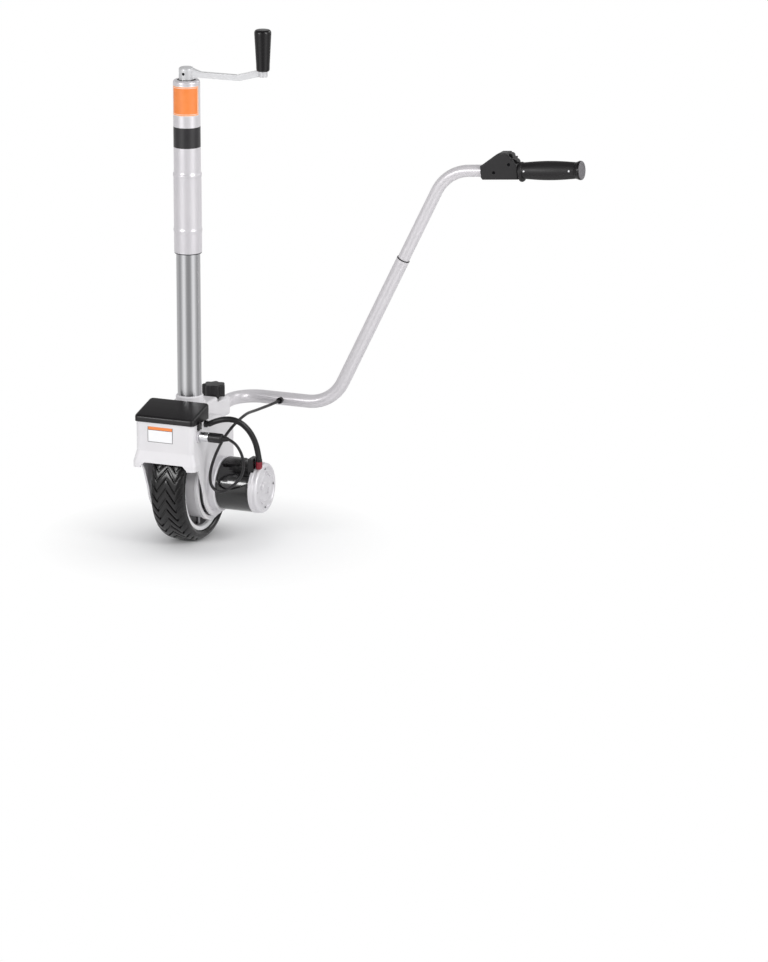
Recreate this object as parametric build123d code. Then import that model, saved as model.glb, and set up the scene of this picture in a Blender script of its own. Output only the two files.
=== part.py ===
from build123d import *
import os
from math import acos, cos, pi, radians, sin, sqrt, tan

# Trailer dolly: a telescopic jack post on a motor driven wheel with a steering handle.
# X runs along the wheel axle to the motor side, Y runs back from the control box, Z is up.
# Heights below are counted from a level 120 mm under the wheel's axle, 7 mm below the tyre.
# Every piece is then lowered by clamp_height, so that the origin is on the post's axis,
# at the middle of the band that a trailer clamp grips.

clamp_height = 656.0

# Fits and gaps
running_gap = 0.06
press_gap = 0.02
body_gap = 0.4
seat_gap = 0.3

# Jack post
post_radius = 25.2
grip_band_radius = 26.0
post_bore_radius = 23.6
post_bottom = 561.0
post_top = 880.0
bead_heights = (603.5, 708.6)
bead_rise = 1.1
bead_half_height = 3.0
bush_length = 30.0
bush_lip = 1.6
cap_height = 7.0
cap_chamfer = 2.5
cap_spigot = 12.0

# Lifting screw and nut
screw_radius = 8.0
screw_bottom = 575.0
screw_top = 906.0
screw_collar_radius = 17.0
screw_collar_thickness = 6.0
bearing_height = 9.0
bearing_radius = 20.0
lift_travel = 215.0
nut_radius = 12.0
nut_flange_radius = 21.5
nut_flange_height = 8.0
nut_length = 30.0
swivel_washer_height = 3.4
lift_stop_room = 6.1
circlip_radius = 15.0
circlip_thickness = 2.0

# Crank
hub_radius = 14.2
hub_height = 23.5
hub_rounding = 5.0
roll_pin_radius = 2.6
crank_reach = 154.7
arm_thickness = 8.5
arm_depth = 10.5
arm_root_depth = 20.0
arm_lift = 3.5
arm_rise = 3.0
arm_boss_radius = 8.5
spindle_radius = 5.0
spindle_head_radius = 6.5
spindle_head_height = 2.0
crank_grip_length = 77.0
crank_grip_low_radius = 10.8
crank_grip_high_radius = 14.2
crank_grip_roof = 6.0
crank_grip_rounding = 4.0

# Inner tube and its foot
inner_radius = 22.5
inner_wall = 2.5
inner_end_wall = 18.0
foot_collar_radius = 26.0
foot_collar_height = 11.0
foot_boss_radius = 30.0

# Wheel
axle_height = 120.0
tyre_radius = 113.0
tyre_half_width = 35.0
tread_half_width = 26.0
rim_radius = 93.0
rim_seat_radius = 88.0
rim_half_width = 30.0
rim_sheet = 3.0
rim_disc_left = -1.0
rim_disc_right = 3.0
hub_boss_radius = 24.0
hub_boss_left = -28.0
hub_flange_radius = 58.0
hub_flange_right = 8.0
wheel_bolt_count = 5
wheel_bolt_circle = 40.0
wheel_bolt_radius = 4.0
wheel_bolt_head_radius = 7.0
wheel_bolt_head = 5.0
tyre_wall = 8.0
bead_gap = 19.0
valve_radius = 4.0
valve_length = 16.0
valve_x = 15.0
axle_radius = 10.0
axle_nut_radius = 15.0
axle_nut_height = 9.0
bearing_outer_radius = 17.5
bearing_width = 11.0

# Planetary gear in the wheel
gear_module = 2.0
sun_teeth = 12
planet_teeth = 24
ring_teeth = 60
planet_count = 3
pressure_angle = 20.0
tooth_backlash = 0.5
drum_radius = 68.0
drum_lip_radius = 71.0
drum_lip = 7.0
drum_end_thickness = 5.0
gear_left = 19.0
gear_end_room = 5.0
carrier_radius = 57.5
carrier_thickness = 11.0
drum_carrier_lap = 5.0
planet_pin_radius = 6.0
planet_pin_end = 2.0
gear_tip = 0.9
gear_root = 1.2
drum_mouth_room = 1.5

# Fork housing over the wheel
housing_half_width = 59.0
housing_shift = -2.0
housing_wall = 4.0
carrier_left = housing_shift + housing_half_width - housing_wall - carrier_thickness
drum_right = carrier_left + drum_carrier_lap
gear_width = carrier_left - gear_end_room - gear_left
housing_front_lap = 1.0
housing_front = housing_front_lap - tyre_radius
housing_back = 72.0
housing_box_back = -36.0
box_room = 23.0
housing_top = axle_height + tyre_radius + box_room
housing_corner = 9.0
arch_room = 16.0
crown_radius = tyre_radius + arch_room
shoulder_radius = 15.0
skirt_top = axle_height + 81.0
skirt_bottom = axle_height + 59.0
skirt_leg_bottom = axle_height + 48.5
skirt_flare = 5.0
skirt_back = -90.0
front_gap_half_width = 47.0
front_gap_corner = 8.0
arm_disc_radius = 62.0
arm_front = -80.0
arm_front_height = axle_height + 35.0
arm_back_height = axle_height + 30.0
motor_bore_radius = 30.0

# Steering bridge and handle socket
bridge_half_width = 18.0
bridge_front = -30.0
bridge_back = 107.0
bridge_top = housing_top + 6.0
foot_boss_top = housing_top + 20.0
inner_bottom = housing_top - 4.0
socket_front = 80.0
socket_back = 143.0
socket_half_height = 18.0
socket_corner = 6.0
bridge_leg_front = 95.0
handle_rise = 112.0
handle_height = axle_height + handle_rise
bridge_leg_bottom = handle_height - 32.0

# Clamp knob on the socket
knob_back = 110.0
knob_screw_radius = 5.0
knob_rise = 26.5
knob_bottom = handle_height + knob_rise
knob_height = 22.5
knob_radius = 22.5
knob_lobe_depth = 4.5
knob_lobes = 7
knob_insert = 14.0
knob_collar_radius = 9.8

# Control box
lid_side_lap = 2.0
lid_half_width = housing_half_width + lid_side_lap
lid_lap = 1.5
lid_front = housing_front - lid_lap
lid_back = -38.0
lid_front_top = housing_top + 11.5
lid_back_top = housing_top + 29.0
lid_corner = 8.0
lid_edge = 4.5
lid_wall = 2.5
board_half_width = 48.0
board_front = housing_front + 8.0
board_back = -46.0
board_foot = 2.0
board_thickness = 1.6
relay_size = 20.0
relay_height = 11.0
clip_front = housing_front + 19.0
clip_back = clip_front + 11.0
clip_thickness = 3.0
clip_bottom = housing_top - 11.0
clip_top = housing_top + 6.0

# Power cable gland and control socket on the housing's right face
gland_place = (-57.0, housing_top - 7.0)
gland_radius = 6.6
gland_nut_length = 4.5
gland_length = 8.0
gland_shank_radius = 5.5
socket_place = (-86.0, housing_top - 24.0)
socket_flange_radius = 12.0
socket_flange_thickness = 4.0
socket_nose_radius = 7.6
socket_nose_length = 12.0
plug_ring_radius = 9.0
plug_ring_length = 18.0
plug_radius = 9.3
plug_body_length = 27.0
plug_relief_radius = 6.4

# Motor
flange_radius = 52.0
flange_right = 72.0
motor_radius = 47.5
motor_wall = 3.0
motor_right = 138.5
end_cap_radius = 48.5
end_cap_right = 156.0
end_cap_face_radius = 47.0
end_boss_radius = 14.0
magnet_thickness = 7.0
magnet_half_angle = 65.0
magnet_end_room = 8.0
magnet_half_gap = 0.5
armature_radius = 36.0
armature_front_room = 12.0
armature_back_room = 14.0
armature_slots = 12
armature_slot_depth = 9.0
armature_slot_width = 4.0
commutator_radius = 14.0
commutator_length = 12.0
shaft_radius = 6.0
motor_bearing_radius = 14.0
motor_bearing_width = 9.0
flange_bearing_depth = 0.5
end_bearing_depth = 7.0
brush_length = 16.0
brush_width = 8.0
brush_holder_width = 12.0
brush_holder_top = 42.5
cap_screw_circle = 38.0
cap_screw_radius = 2.5
cap_screw_length = 2.7
cap_screw_sink = 1.2
strap_thickness = 1.5
strap_angles = (62.0, 118.0)
pad_height = 5.0
pad_right = 108.0
block_span = (133.0, 143.5)
block_front = -32.0
block_back = -9.0
block_top = 183.0
boot_radius = 6.2
boot_height = 14.0
boot_rise = 60.0

# Handle
handle_back = 230.0
lower_tube_radius = 12.7
lower_tube_wall = 1.2
upper_tube_radius = 11.4
upper_tube_wall = 1.4
handle_tail = 88.0
side_bend_radius = 50.0
rise_bend_radius = 80.0
rise_corner_x = 193.0
rise_angle = 63.7
seam_distance = 329.0
upper_overlap = 70.0
rise_length = 526.6
grip_angle = 4.85
grip_end_distance = 271.0
housing_start = 73.0
housing_end = 147.0
button_radius = 4.0
button_head_radius = 5.5
button_head_height = 1.8
button_stand = 2.4
button_back_off = 22.0
button_travel = 3.5
spring_width = 6.0
spring_leaf = 1.2
grommet_x = 91.0
grommet_radius = 6.0
grommet_length = 7.0

# Switch housing and hand grip
switch_half_width = 15.0
switch_bottom = -14.5
switch_top = 35.0
switch_wall = 2.5
switch_screw_radius = 3.0
rocker_length = 22.0
rocker_width = 14.0
rocker_thickness = 8.0
rocker_waist_radius = 6.0
rocker_waist_depth = 2.8
rocker_angle = 53.0
rocker_swing = 8.0
trunnion_radius = 2.0
trunnion_reach = 13.8
switch_block_length = 12.0
switch_block_thickness = 5.0
hand_grip_radius = 18.0
hand_grip_end_radius = 15.4
grip_flange_radius = 18.8
grip_flange_drop = 2.3
grip_flange_thickness = 8.0
grip_end_radius = 18.0
grip_end_length = 13.0

# Cables, as routes of points counted from the ground
power_diameter = 11.0
power_route = [
    (65.0, -57.0, 249.0),
    (77.5, -57.0, 255.5),
    (93.0, -55.5, 260.5),
    (110.5, -51.0, 261.5),
    (127.0, -45.0, 254.0),
    (139.5, -38.0, 238.5),
    (147.0, -31.0, 219.0),
    (150.0, -25.0, 199.0),
    (150.5, -20.0, 180.0),
]
control_diameter = 5.5
control_route = [
    (118.0, -86.0, 232.0),
    (128.0, -85.0, 227.5),
    (137.0, -83.0, 217.0),
    (143.0, -80.0, 202.0),
    (145.0, -77.0, 184.0),
    (141.0, -74.0, 165.0),
    (130.0, -71.0, 149.0),
    (115.5, -68.0, 135.5),
    (100.0, -66.0, 124.5),
    (86.5, -64.0, 121.5),
    (74.5, -63.0, 127.5),
    (69.0, -63.0, 140.0),
    (69.5, -63.0, 156.0),
    (73.0, -62.0, 173.0),
    (79.0, -60.0, 191.0),
    (86.5, -57.0, 209.0),
    (94.5, -51.0, 226.0),
    (102.5, -39.0, 241.0),
    (108.5, -20.0, 251.0),
    (108.5, 5.0, 254.0),
    (104.0, 33.0, 252.0),
    (97.5, 64.0, 246.5),
    (92.0, 99.0, 240.5),
    (89.0, 138.0, 236.0),
    (88.5, 175.0, 232.5),
    (91.0, 210.3, 232.0),
]


# Shape helpers
def upright(radius, low, high, x=0.0, y=0.0):
    return Pos(x, y, (low + high) / 2) * Cylinder(radius, high - low)


def along_x(radius, left, right, y=0.0, z=axle_height):
    return Pos((left + right) / 2, y, z) * Rot(0, 90, 0) * Cylinder(radius, right - left)


def along_y(radius, front, back, x=0.0, z=handle_height):
    return Pos(x, (front + back) / 2, z) * Rot(90, 0, 0) * Cylinder(radius, back - front)


def block(x_range, y_range, z_range):
    sizes = [high - low for low, high in (x_range, y_range, z_range)]
    middles = [(low + high) / 2 for low, high in (x_range, y_range, z_range)]
    return Pos(*middles) * Box(*sizes)


def turned(points):
    profile = Plane.XZ * make_face(Polyline(*points, close=True))
    return revolve(profile, Axis.Z)


def turned_on_axle(points):
    profile = make_face(Polyline(*points, close=True))
    return Pos(0, 0, axle_height) * revolve(profile, Axis.X)


def side_plate(points, left, right):
    outline = Plane.YZ * make_face(Polyline(*points, close=True))
    return Pos(left, 0, 0) * extrude(outline, right - left)


def front_plate(points, front, back):
    outline = Plane.XZ * make_face(Polyline(*points, close=True))
    return Pos(0, back, 0) * extrude(outline, back - front)


def around(count, shape, axis_height=axle_height):
    turns = [Rot(360.0 * i / count, 0, 0) for i in range(count)]
    return [Pos(0, 0, axis_height) * turn * Pos(0, 0, -axis_height) * shape for turn in turns]


# Jack post
def make_outer_tube():
    low_bead, high_bead = bead_heights
    profile = [(post_bore_radius, post_bottom), (grip_band_radius, post_bottom)]
    for height in (low_bead, high_bead):
        above = post_radius if height == high_bead else grip_band_radius
        profile += [
            (grip_band_radius, height - bead_half_height),
            (grip_band_radius + bead_rise, height - bead_half_height / 3),
            (grip_band_radius + bead_rise, height + bead_half_height / 3),
            (above, height + bead_half_height),
        ]
    profile += [(post_radius, post_top), (post_bore_radius, post_top)]
    return turned(profile)


def make_guide_bush():
    inner = inner_radius + running_gap
    outer = post_bore_radius - press_gap
    lip = post_bottom - bush_lip
    return turned([
        (inner, lip), (grip_band_radius - 0.6, lip), (grip_band_radius - 0.6, post_bottom),
        (outer, post_bottom), (outer, post_bottom + bush_length), (inner, post_bottom + bush_length),
    ])


def make_tube_cap():
    inner = screw_radius + body_gap
    spigot = post_bore_radius - press_gap
    top = post_top + cap_height
    return turned([
        (inner, post_top - cap_spigot), (spigot, post_top - cap_spigot), (spigot, post_top),
        (post_radius, post_top), (post_radius, top - cap_chamfer), (post_radius - cap_chamfer, top),
        (inner, top),
    ])


def make_thrust_bearing():
    top = post_top - cap_spigot - seat_gap / 3
    inner = screw_radius + running_gap
    return upright(bearing_radius, top - bearing_height, top) - upright(inner, top - bearing_height, top)


# Lifting screw, its nut and the swivel between the nut and the inner tube
def screw_collar_top():
    return post_top - cap_spigot - bearing_height - seat_gap / 3 * 2


def inner_top():
    nut_stop = screw_collar_top() - screw_collar_thickness - lift_stop_room
    return nut_stop - lift_travel - nut_flange_height - swivel_washer_height - seat_gap


def make_lift_screw():
    collar_top = screw_collar_top()
    collar = upright(screw_collar_radius, collar_top - screw_collar_thickness, collar_top)
    shaft = upright(screw_radius, screw_bottom, screw_top)
    pin_hole = along_y(roll_pin_radius + press_gap, -hub_radius, hub_radius, 0, pin_height())
    return shaft + collar - pin_hole


def pin_height():
    return post_top + cap_height + body_gap + hub_height / 2


def make_lift_nut():
    low = inner_top() + swivel_washer_height + seat_gap
    body = upright(nut_radius, low - nut_length, low)
    flange = upright(nut_flange_radius, low, low + nut_flange_height)
    return body + flange - upright(screw_radius + running_gap, low - nut_length, low + nut_flange_height)


def make_swivel_rings():
    low = inner_top() + seat_gap
    bore = nut_radius + press_gap
    washer = upright(nut_flange_radius, low, low + swivel_washer_height - press_gap)
    high = inner_top() - inner_end_wall - seat_gap
    circlip = upright(circlip_radius, high - circlip_thickness, high)
    rings = [washer - upright(bore, low, low + swivel_washer_height)]
    rings.append(circlip - upright(bore, high - circlip_thickness, high))
    return Compound(rings)


# Crank
def hub_bottom():
    return post_top + cap_height + body_gap


def make_crank_arm():
    low = hub_bottom()
    high = low + hub_height
    hub = upright(hub_radius, low, high)
    hub = fillet(hub.edges().sort_by(Axis.Z)[-1], hub_rounding)
    under = low + arm_lift + 2
    over = under + arm_depth
    end = high + arm_rise
    bend = crank_reach * 0.7
    tip = crank_reach + 2
    blade = front_plate([
        (0, low + 2), (hub_radius + 2, low + 2), (hub_radius + 12, under), (bend, under),
        (crank_reach - 6, end - arm_depth), (tip, end - arm_depth), (tip, end), (crank_reach - 14, end),
        (bend - 6, over), (hub_radius + 14, over), (hub_radius, low + 1 + arm_root_depth),
        (0, low + 1 + arm_root_depth),
    ], -arm_thickness / 2, arm_thickness / 2)
    blade = fillet(blade.edges().filter_by(Axis.Y).group_by(Axis.X)[1:-2], 1.5)
    boss = upright(arm_boss_radius, end - arm_depth, end, crank_reach)
    arm = blade + boss + hub
    arm -= upright(screw_radius + press_gap, low, screw_top + press_gap)
    arm -= along_y(roll_pin_radius + press_gap, -hub_radius, hub_radius, 0, pin_height())
    return arm - upright(spindle_radius + press_gap, end - arm_depth, end, crank_reach)


def make_roll_pin():
    pin = along_y(roll_pin_radius, -hub_radius, hub_radius, 0, pin_height())
    return pin - along_y(roll_pin_radius / 2, -hub_radius, hub_radius, 0, pin_height())


def grip_bottom():
    return hub_bottom() + hub_height + arm_rise + seat_gap


def spindle_top():
    return grip_bottom() + crank_grip_length - crank_grip_roof


def make_grip_spindle():
    low = hub_bottom() + hub_height + arm_rise - arm_depth
    head = upright(spindle_head_radius, spindle_top() - spindle_head_height, spindle_top(), crank_reach)
    return upright(spindle_radius, low, spindle_top(), crank_reach) + head


def make_crank_grip():
    low = grip_bottom()
    high = low + crank_grip_length
    soft = crank_grip_rounding
    body = turned([
        (0, low), (crank_grip_low_radius - soft / 2, low), (crank_grip_low_radius, low + soft),
        (crank_grip_low_radius + 0.6, low + 22), (crank_grip_high_radius - 0.8, high - 26),
        (crank_grip_high_radius, high - 12), (crank_grip_high_radius - 0.8, high - soft),
        (crank_grip_high_radius - soft, high - 0.6), (0, high),
    ])
    body -= upright(spindle_radius + running_gap, low, spindle_top())
    head_room = body_gap / 2
    head_low = spindle_top() - spindle_head_height - head_room
    body -= upright(spindle_head_radius + head_room, head_low, spindle_top() + head_room)
    return Pos(crank_reach, 0, 0) * body


# Inner tube, with its top closed by a welded ring that the nut's neck turns in
def make_inner_tube():
    top = inner_top()
    tube = upright(inner_radius, inner_bottom, top)
    tube -= upright(inner_radius - inner_wall, inner_bottom, top - inner_end_wall)
    return tube - upright(nut_radius + running_gap, top - inner_end_wall, top)


def make_foot_collar():
    high = foot_boss_top + foot_collar_height
    ring = upright(foot_collar_radius, foot_boss_top, high)
    ring = chamfer(ring.edges().sort_by(Axis.Z)[-1], 2)
    return ring - upright(inner_radius + press_gap, foot_boss_top, high)


# Fork housing
def rounded_prism(half_width, front, back, low, high, corner):
    middle = (front + back) / 2
    outline = Pos(0, middle, low) * RectangleRounded(2 * half_width, back - front, corner)
    return extrude(outline, high - low)


def crown_prism(half_width, radius, front, back, low, edge):
    across_prism = along_x(radius, -half_width, half_width)
    across_prism = fillet(across_prism.edges(), edge)
    spring_line = axle_height + radius / 2
    body = block((-half_width, half_width), (front, back), (low, spring_line))
    top = block((-half_width, half_width), (front, back), (spring_line, axle_height + radius))
    return body + (across_prism & top)


def skirt(half_width, front, corner, spread):
    back = skirt_back + 40
    high = Pos(0, (front + back) / 2, skirt_top)
    low = Pos(0, (front - spread + back + spread) / 2, skirt_bottom)
    high_face = high * RectangleRounded(2 * half_width, back - front, corner)
    low_face = low * RectangleRounded(2 * (half_width + spread), back - front + 2 * spread, corner)
    tapered = loft([low_face, high_face])
    foot = extrude(low_face, -(skirt_bottom - skirt_leg_bottom))
    keep = block((-200, 200), (-200, skirt_back), (0, skirt_top + 1))
    return (tapered + foot) & keep


def arm_outline():
    touch = arm_disc_radius - press_gap
    return [
        (skirt_back - 4, skirt_top), (skirt_back - 4, skirt_leg_bottom), (skirt_back, skirt_leg_bottom),
        (arm_front, arm_front_height), (-touch * cos(0.12), axle_height - touch * sin(0.12)),
        (0, axle_height), (touch * cos(0.06), axle_height - touch * sin(0.06)),
        (housing_back, arm_back_height), (housing_back, skirt_top),
    ]


def face_right():
    return housing_shift + housing_half_width


def face_left():
    return housing_shift - housing_half_width


def make_housing():
    wall = housing_wall
    outer = rounded_prism(housing_half_width, housing_front, housing_box_back,
                          skirt_leg_bottom, housing_top, housing_corner)
    outer += crown_prism(housing_half_width, crown_radius, housing_box_back - 10, housing_back,
                         skirt_leg_bottom, shoulder_radius)
    outer += skirt(housing_half_width, housing_front, housing_corner, skirt_flare)
    inner_half = housing_half_width - wall
    inner = rounded_prism(inner_half, housing_front + wall, housing_box_back + 10,
                          skirt_leg_bottom - 1, housing_top - wall, housing_corner - wall)
    inner -= block((-200, 200), (housing_box_back - wall, 200), (axle_height, 400))
    inner += crown_prism(inner_half, crown_radius - wall, housing_box_back - wall - 1, housing_back + 1,
                         skirt_leg_bottom - 1, shoulder_radius - wall)
    inner += skirt(inner_half, housing_front + wall, housing_corner - wall, skirt_flare)
    shell = outer - inner
    opening = Pos(0, housing_front, skirt_bottom - 30) * Box(2 * front_gap_half_width, 60, 60)
    opening = chamfer(opening.edges().filter_by(Axis.Y).sort_by(Axis.Z)[-2:], front_gap_corner)
    shell -= opening
    for side in (-1, 1):
        low, high = sorted((side * inner_half, side * housing_half_width))
        shell += side_plate(arm_outline(), low, high)
        shell += along_x(arm_disc_radius, low, high)
    shell = Pos(housing_shift, 0, 0) * shell
    shell -= along_x(motor_bore_radius, face_right() - wall - 1, face_right() + 1)
    shell -= along_x(axle_radius + press_gap, face_left() - 1, face_left() + wall + 1)
    for place, radius in ((gland_place, gland_shank_radius), (socket_place, socket_nose_radius)):
        shell -= along_x(radius, face_right() - wall - 1, face_right() + 1, place[0], place[1])
    return shell


# Steering bridge with the post's foot and the handle socket
def make_bridge():
    boss = upright(foot_boss_radius, axle_height, foot_boss_top)
    boss = fillet(boss.edges().sort_by(Axis.Z)[-1], 3)
    beam = block((-bridge_half_width, bridge_half_width), (bridge_front, bridge_back),
                 (axle_height, bridge_top))
    beam = fillet(beam.edges().sort_by(Axis.Z)[-4:], 5)
    body = boss + beam
    body -= along_x(crown_radius + press_gap, -100, 100)
    body -= block((-100, 100), (housing_back - 20, 200), (0, handle_height - socket_half_height))
    block_low = handle_height - socket_half_height
    block_high = handle_height + socket_half_height
    housing = block((-bridge_half_width, bridge_half_width), (socket_front, socket_back),
                    (block_low, block_high + 2))
    housing = fillet(housing.edges().filter_by(Axis.Y), socket_corner)
    leg = block((-bridge_half_width, bridge_half_width), (bridge_leg_front, bridge_back),
                (bridge_leg_bottom, block_low + socket_corner))
    body = body + housing + leg
    bore = lower_tube_radius + running_gap
    body -= along_y(bore, handle_tail - seat_gap, socket_back + 1)
    body -= upright(knob_screw_radius + running_gap, handle_height, block_high + 40, 0, knob_back)
    body -= block((-40, 40), (knob_back - 24, 200), (block_high + 2, 400))
    return body - upright(inner_radius + press_gap, inner_bottom - press_gap, foot_boss_top + 1)


def make_clamp_knob():
    high = knob_bottom + knob_height
    steps = 4 * knob_lobes
    outline = []
    for i in range(steps):
        angle = 2 * pi * i / steps
        radius = knob_radius - knob_lobe_depth / 2 * (1 - cos(knob_lobes * angle))
        outline.append((radius * cos(angle), radius * sin(angle)))
    face = make_face(Spline(*outline, periodic=True))
    head = extrude(Pos(0, knob_back, knob_bottom) * face, knob_height)
    head = fillet(head.edges().sort_by(Axis.Z)[-1], 2.5)
    collar_low = handle_height + socket_half_height + 2 + body_gap
    collar = upright(knob_collar_radius, collar_low, knob_bottom, 0, knob_back)
    hole = upright(knob_screw_radius + press_gap, collar_low, knob_bottom + knob_insert, 0, knob_back)
    return head + collar - hole


def make_clamp_screw():
    tip = handle_height + lower_tube_radius + seat_gap
    return upright(knob_screw_radius, tip, knob_bottom + knob_insert - body_gap, 0, knob_back)


# Control box
def make_lid():
    def wedge(inset, floor):
        half = lid_half_width - inset
        front, back = lid_front + inset, lid_back - inset
        body = rounded_prism(half, front, back, floor, lid_back_top + 20, lid_corner - inset)
        slope = (lid_back_top - lid_front_top) / (lid_back - lid_front)
        drop = inset * sqrt(1 + slope * slope)

        def top(y):
            return lid_front_top + slope * (y - lid_front) - drop

        over = side_plate([(lid_front - 5, top(lid_front - 5)), (lid_back + 5, top(lid_back + 5)),
                           (lid_back + 5, 400), (lid_front - 5, 400)], -100, 100)
        return body - over
    outer = wedge(0, housing_top)
    outer = fillet(outer.faces().sort_by(Axis.Z)[-1].edges(), lid_edge)
    return Pos(housing_shift, 0, 0) * (outer - wedge(lid_wall, housing_top - 1))


def make_board():
    low = housing_top + board_foot
    middle = (board_front + board_back) / 2
    top = low + board_thickness
    board = block((-board_half_width, board_half_width), (board_front, board_back), (low, top))
    for x in (-board_half_width + 5, board_half_width - 5):
        for y in (board_front + 5, board_back - 5):
            board += upright(3, housing_top, low, x, y)
    parts = [board]
    back = board_back - 4
    for x in (-32, -4, 24):
        parts.append(block((x - relay_size / 2, x + relay_size / 2), (back - relay_size, back),
                           (top, top + relay_height)))
    parts.append(block((-30, 30), (board_front + 4, middle - 12), (top, top + 4)))
    return Compound([Pos(housing_shift, 0, 0) * part for part in parts])


def make_lid_clips():
    clips = []
    for side in (-1, 1):
        near = side * (lid_half_width + press_gap)
        far = side * (lid_half_width + clip_thickness)
        leg_near = side * (housing_half_width + press_gap)
        clip = block(sorted((near, far)), (clip_front, clip_back), (clip_bottom, clip_top))
        foot = block(sorted((leg_near, far)), (clip_front, clip_back), (clip_bottom, clip_bottom + 8))
        clips.append(Pos(housing_shift, 0, 0) * (clip + foot))
    return Compound(clips)


def make_gland():
    y, z = gland_place
    face = face_right() + press_gap
    body = along_x(gland_radius, face, face + gland_nut_length, y, z)
    outline = [(face + gland_nut_length, 0), (face + gland_nut_length, gland_radius - 0.6),
               (face + gland_length, gland_radius - 2), (face + gland_length, 0)]
    dome = Pos(0, y, z) * revolve(make_face(Polyline(*outline, close=True)), Axis.X)
    shank = along_x(gland_shank_radius - press_gap, face - housing_wall, face, y, z)
    return body + dome + shank


def make_socket():
    y, z = socket_place
    face = face_right() + press_gap
    flange = along_x(socket_flange_radius, face, face + socket_flange_thickness, y, z)
    nose = along_x(socket_nose_radius - press_gap, face - housing_wall,
                   face + socket_flange_thickness + socket_nose_length, y, z)
    return flange + nose


def socket_face():
    return face_right() + press_gap + socket_flange_thickness


def make_plug_ring():
    y, z = socket_place
    left = socket_face() + seat_gap
    ring = along_x(plug_ring_radius, left, left + plug_ring_length, y, z)
    ring = chamfer(ring.edges().filter_by(GeomType.CIRCLE), 0.8)
    return ring - along_x(socket_nose_radius + running_gap, left, left + plug_ring_length, y, z)


def make_plug_body():
    y, z = socket_place
    left = socket_face() + seat_gap * 2 + plug_ring_length
    right = left + plug_body_length
    body = along_x(plug_radius, left, right, y, z)
    body = fillet(body.edges().filter_by(GeomType.CIRCLE).sort_by(Axis.X)[-1], 3)
    stub_left = socket_face() + socket_nose_length + seat_gap
    stub = along_x(socket_nose_radius - seat_gap, stub_left, left, y, z)
    end = control_route[0][0]
    cable = control_diameter / 2
    outline = [(right - 1, 0), (right - 1, plug_relief_radius), (end - 1, cable + 1.2), (end, cable + 0.5),
               (end, 0)]
    relief = Pos(0, y, z) * revolve(make_face(Polyline(*outline, close=True)), Axis.X)
    return body + stub + relief


# Wheel
def make_tyre():
    seat = rim_seat_radius + press_gap
    heel = rim_half_width - rim_sheet - press_gap
    half = [(heel, seat), (heel, rim_radius + 1), (rim_half_width + 1, rim_radius + 1.5),
            (tyre_half_width, rim_radius + 6), (tyre_half_width - 1, tyre_radius - 8),
            (tread_half_width + 3, tyre_radius - 3), (tread_half_width - 4, tyre_radius - 0.8),
            (9, tyre_radius)]
    mirrored = [(-x, r) for x, r in reversed(half)]
    wall = tyre_wall
    inner = [(bead_gap, seat - 1), (bead_gap, rim_radius + 2), (tyre_half_width - wall, rim_radius + 6),
             (tread_half_width - 6, tyre_radius - wall - 1), (8, tyre_radius - wall)]
    hollow = [(-x, r) for x, r in reversed(inner)]
    return turned_on_axle(half + mirrored) - turned_on_axle(inner + hollow)


def make_rim():
    lip = rim_half_width
    seat = rim_seat_radius
    bore = seat - rim_sheet
    barrel = turned_on_axle([
        (-lip, bore), (-lip, rim_radius), (-lip + rim_sheet, rim_radius), (-lip + rim_sheet, seat),
        (lip - rim_sheet, seat), (lip - rim_sheet, rim_radius), (lip, rim_radius), (lip, bore)])
    low, high = valve_span()
    barrel -= upright(valve_radius, low - 1, high, valve_x, 0)
    hole, edge = hub_boss_radius + press_gap, bore - press_gap
    disc = turned_on_axle([(rim_disc_left, hole), (rim_disc_left, edge), (rim_disc_right, edge),
                           (rim_disc_right, hole)])
    for cut in bolt_holes(rim_disc_left - 1, rim_disc_right + 1):
        disc -= cut
    return Compound([*barrel.solids(), *disc.solids()])


def bolt_holes(left, right):
    return around(wheel_bolt_count, along_x(wheel_bolt_radius + press_gap, left, right, wheel_bolt_circle))


def valve_span():
    low = axle_height - rim_seat_radius + press_gap
    return low, low + rim_sheet + valve_length


def make_valve():
    return upright(valve_radius - press_gap, *valve_span(), valve_x, 0)


def make_wheel_hub():
    seat = rim_disc_right + press_gap
    profile = [(hub_boss_left, 0), (hub_boss_left, hub_boss_radius), (seat, hub_boss_radius),
               (seat, hub_flange_radius), (hub_flange_right, hub_flange_radius), (hub_flange_right, 0)]
    hub = turned_on_axle(profile)
    hub -= along_x(bearing_outer_radius + running_gap, hub_boss_left - 1, hub_flange_right - 3)
    for cut in bolt_holes(0, hub_flange_right + 1):
        hub -= cut
    return hub


def make_wheel_bolts():
    right = hub_flange_right + drum_end_thickness
    shank = along_x(wheel_bolt_radius, rim_disc_left, right, wheel_bolt_circle)
    head = along_x(wheel_bolt_head_radius, rim_disc_left - wheel_bolt_head, rim_disc_left - press_gap,
                   wheel_bolt_circle)
    return Compound(around(wheel_bolt_count, shank + head))


# Gears
def involute(roll):
    return tan(roll) - roll


def gear_outline(teeth, thin, tip, root):
    pitch = gear_module * teeth / 2
    base = pitch * cos(radians(pressure_angle))
    half = pi / (2 * teeth) - thin / (2 * pitch) + involute(radians(pressure_angle))
    low = max(root + 0.2, base + 0.02)
    points = []
    for i in range(teeth):
        middle = 2 * pi * i / teeth
        flank = []
        for step in range(4):
            radius = low + (tip - low) * step / 3
            angle = half - involute(acos(base / radius))
            flank.append((radius, angle))
        first_angle = flank[0][1]
        points.append((root, middle - first_angle))
        points += [(radius, middle - angle) for radius, angle in flank]
        points += [(radius, middle + angle) for radius, angle in reversed(flank)]
        points.append((root, middle + first_angle))
    return [(radius * cos(angle), radius * sin(angle)) for radius, angle in points]


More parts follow.
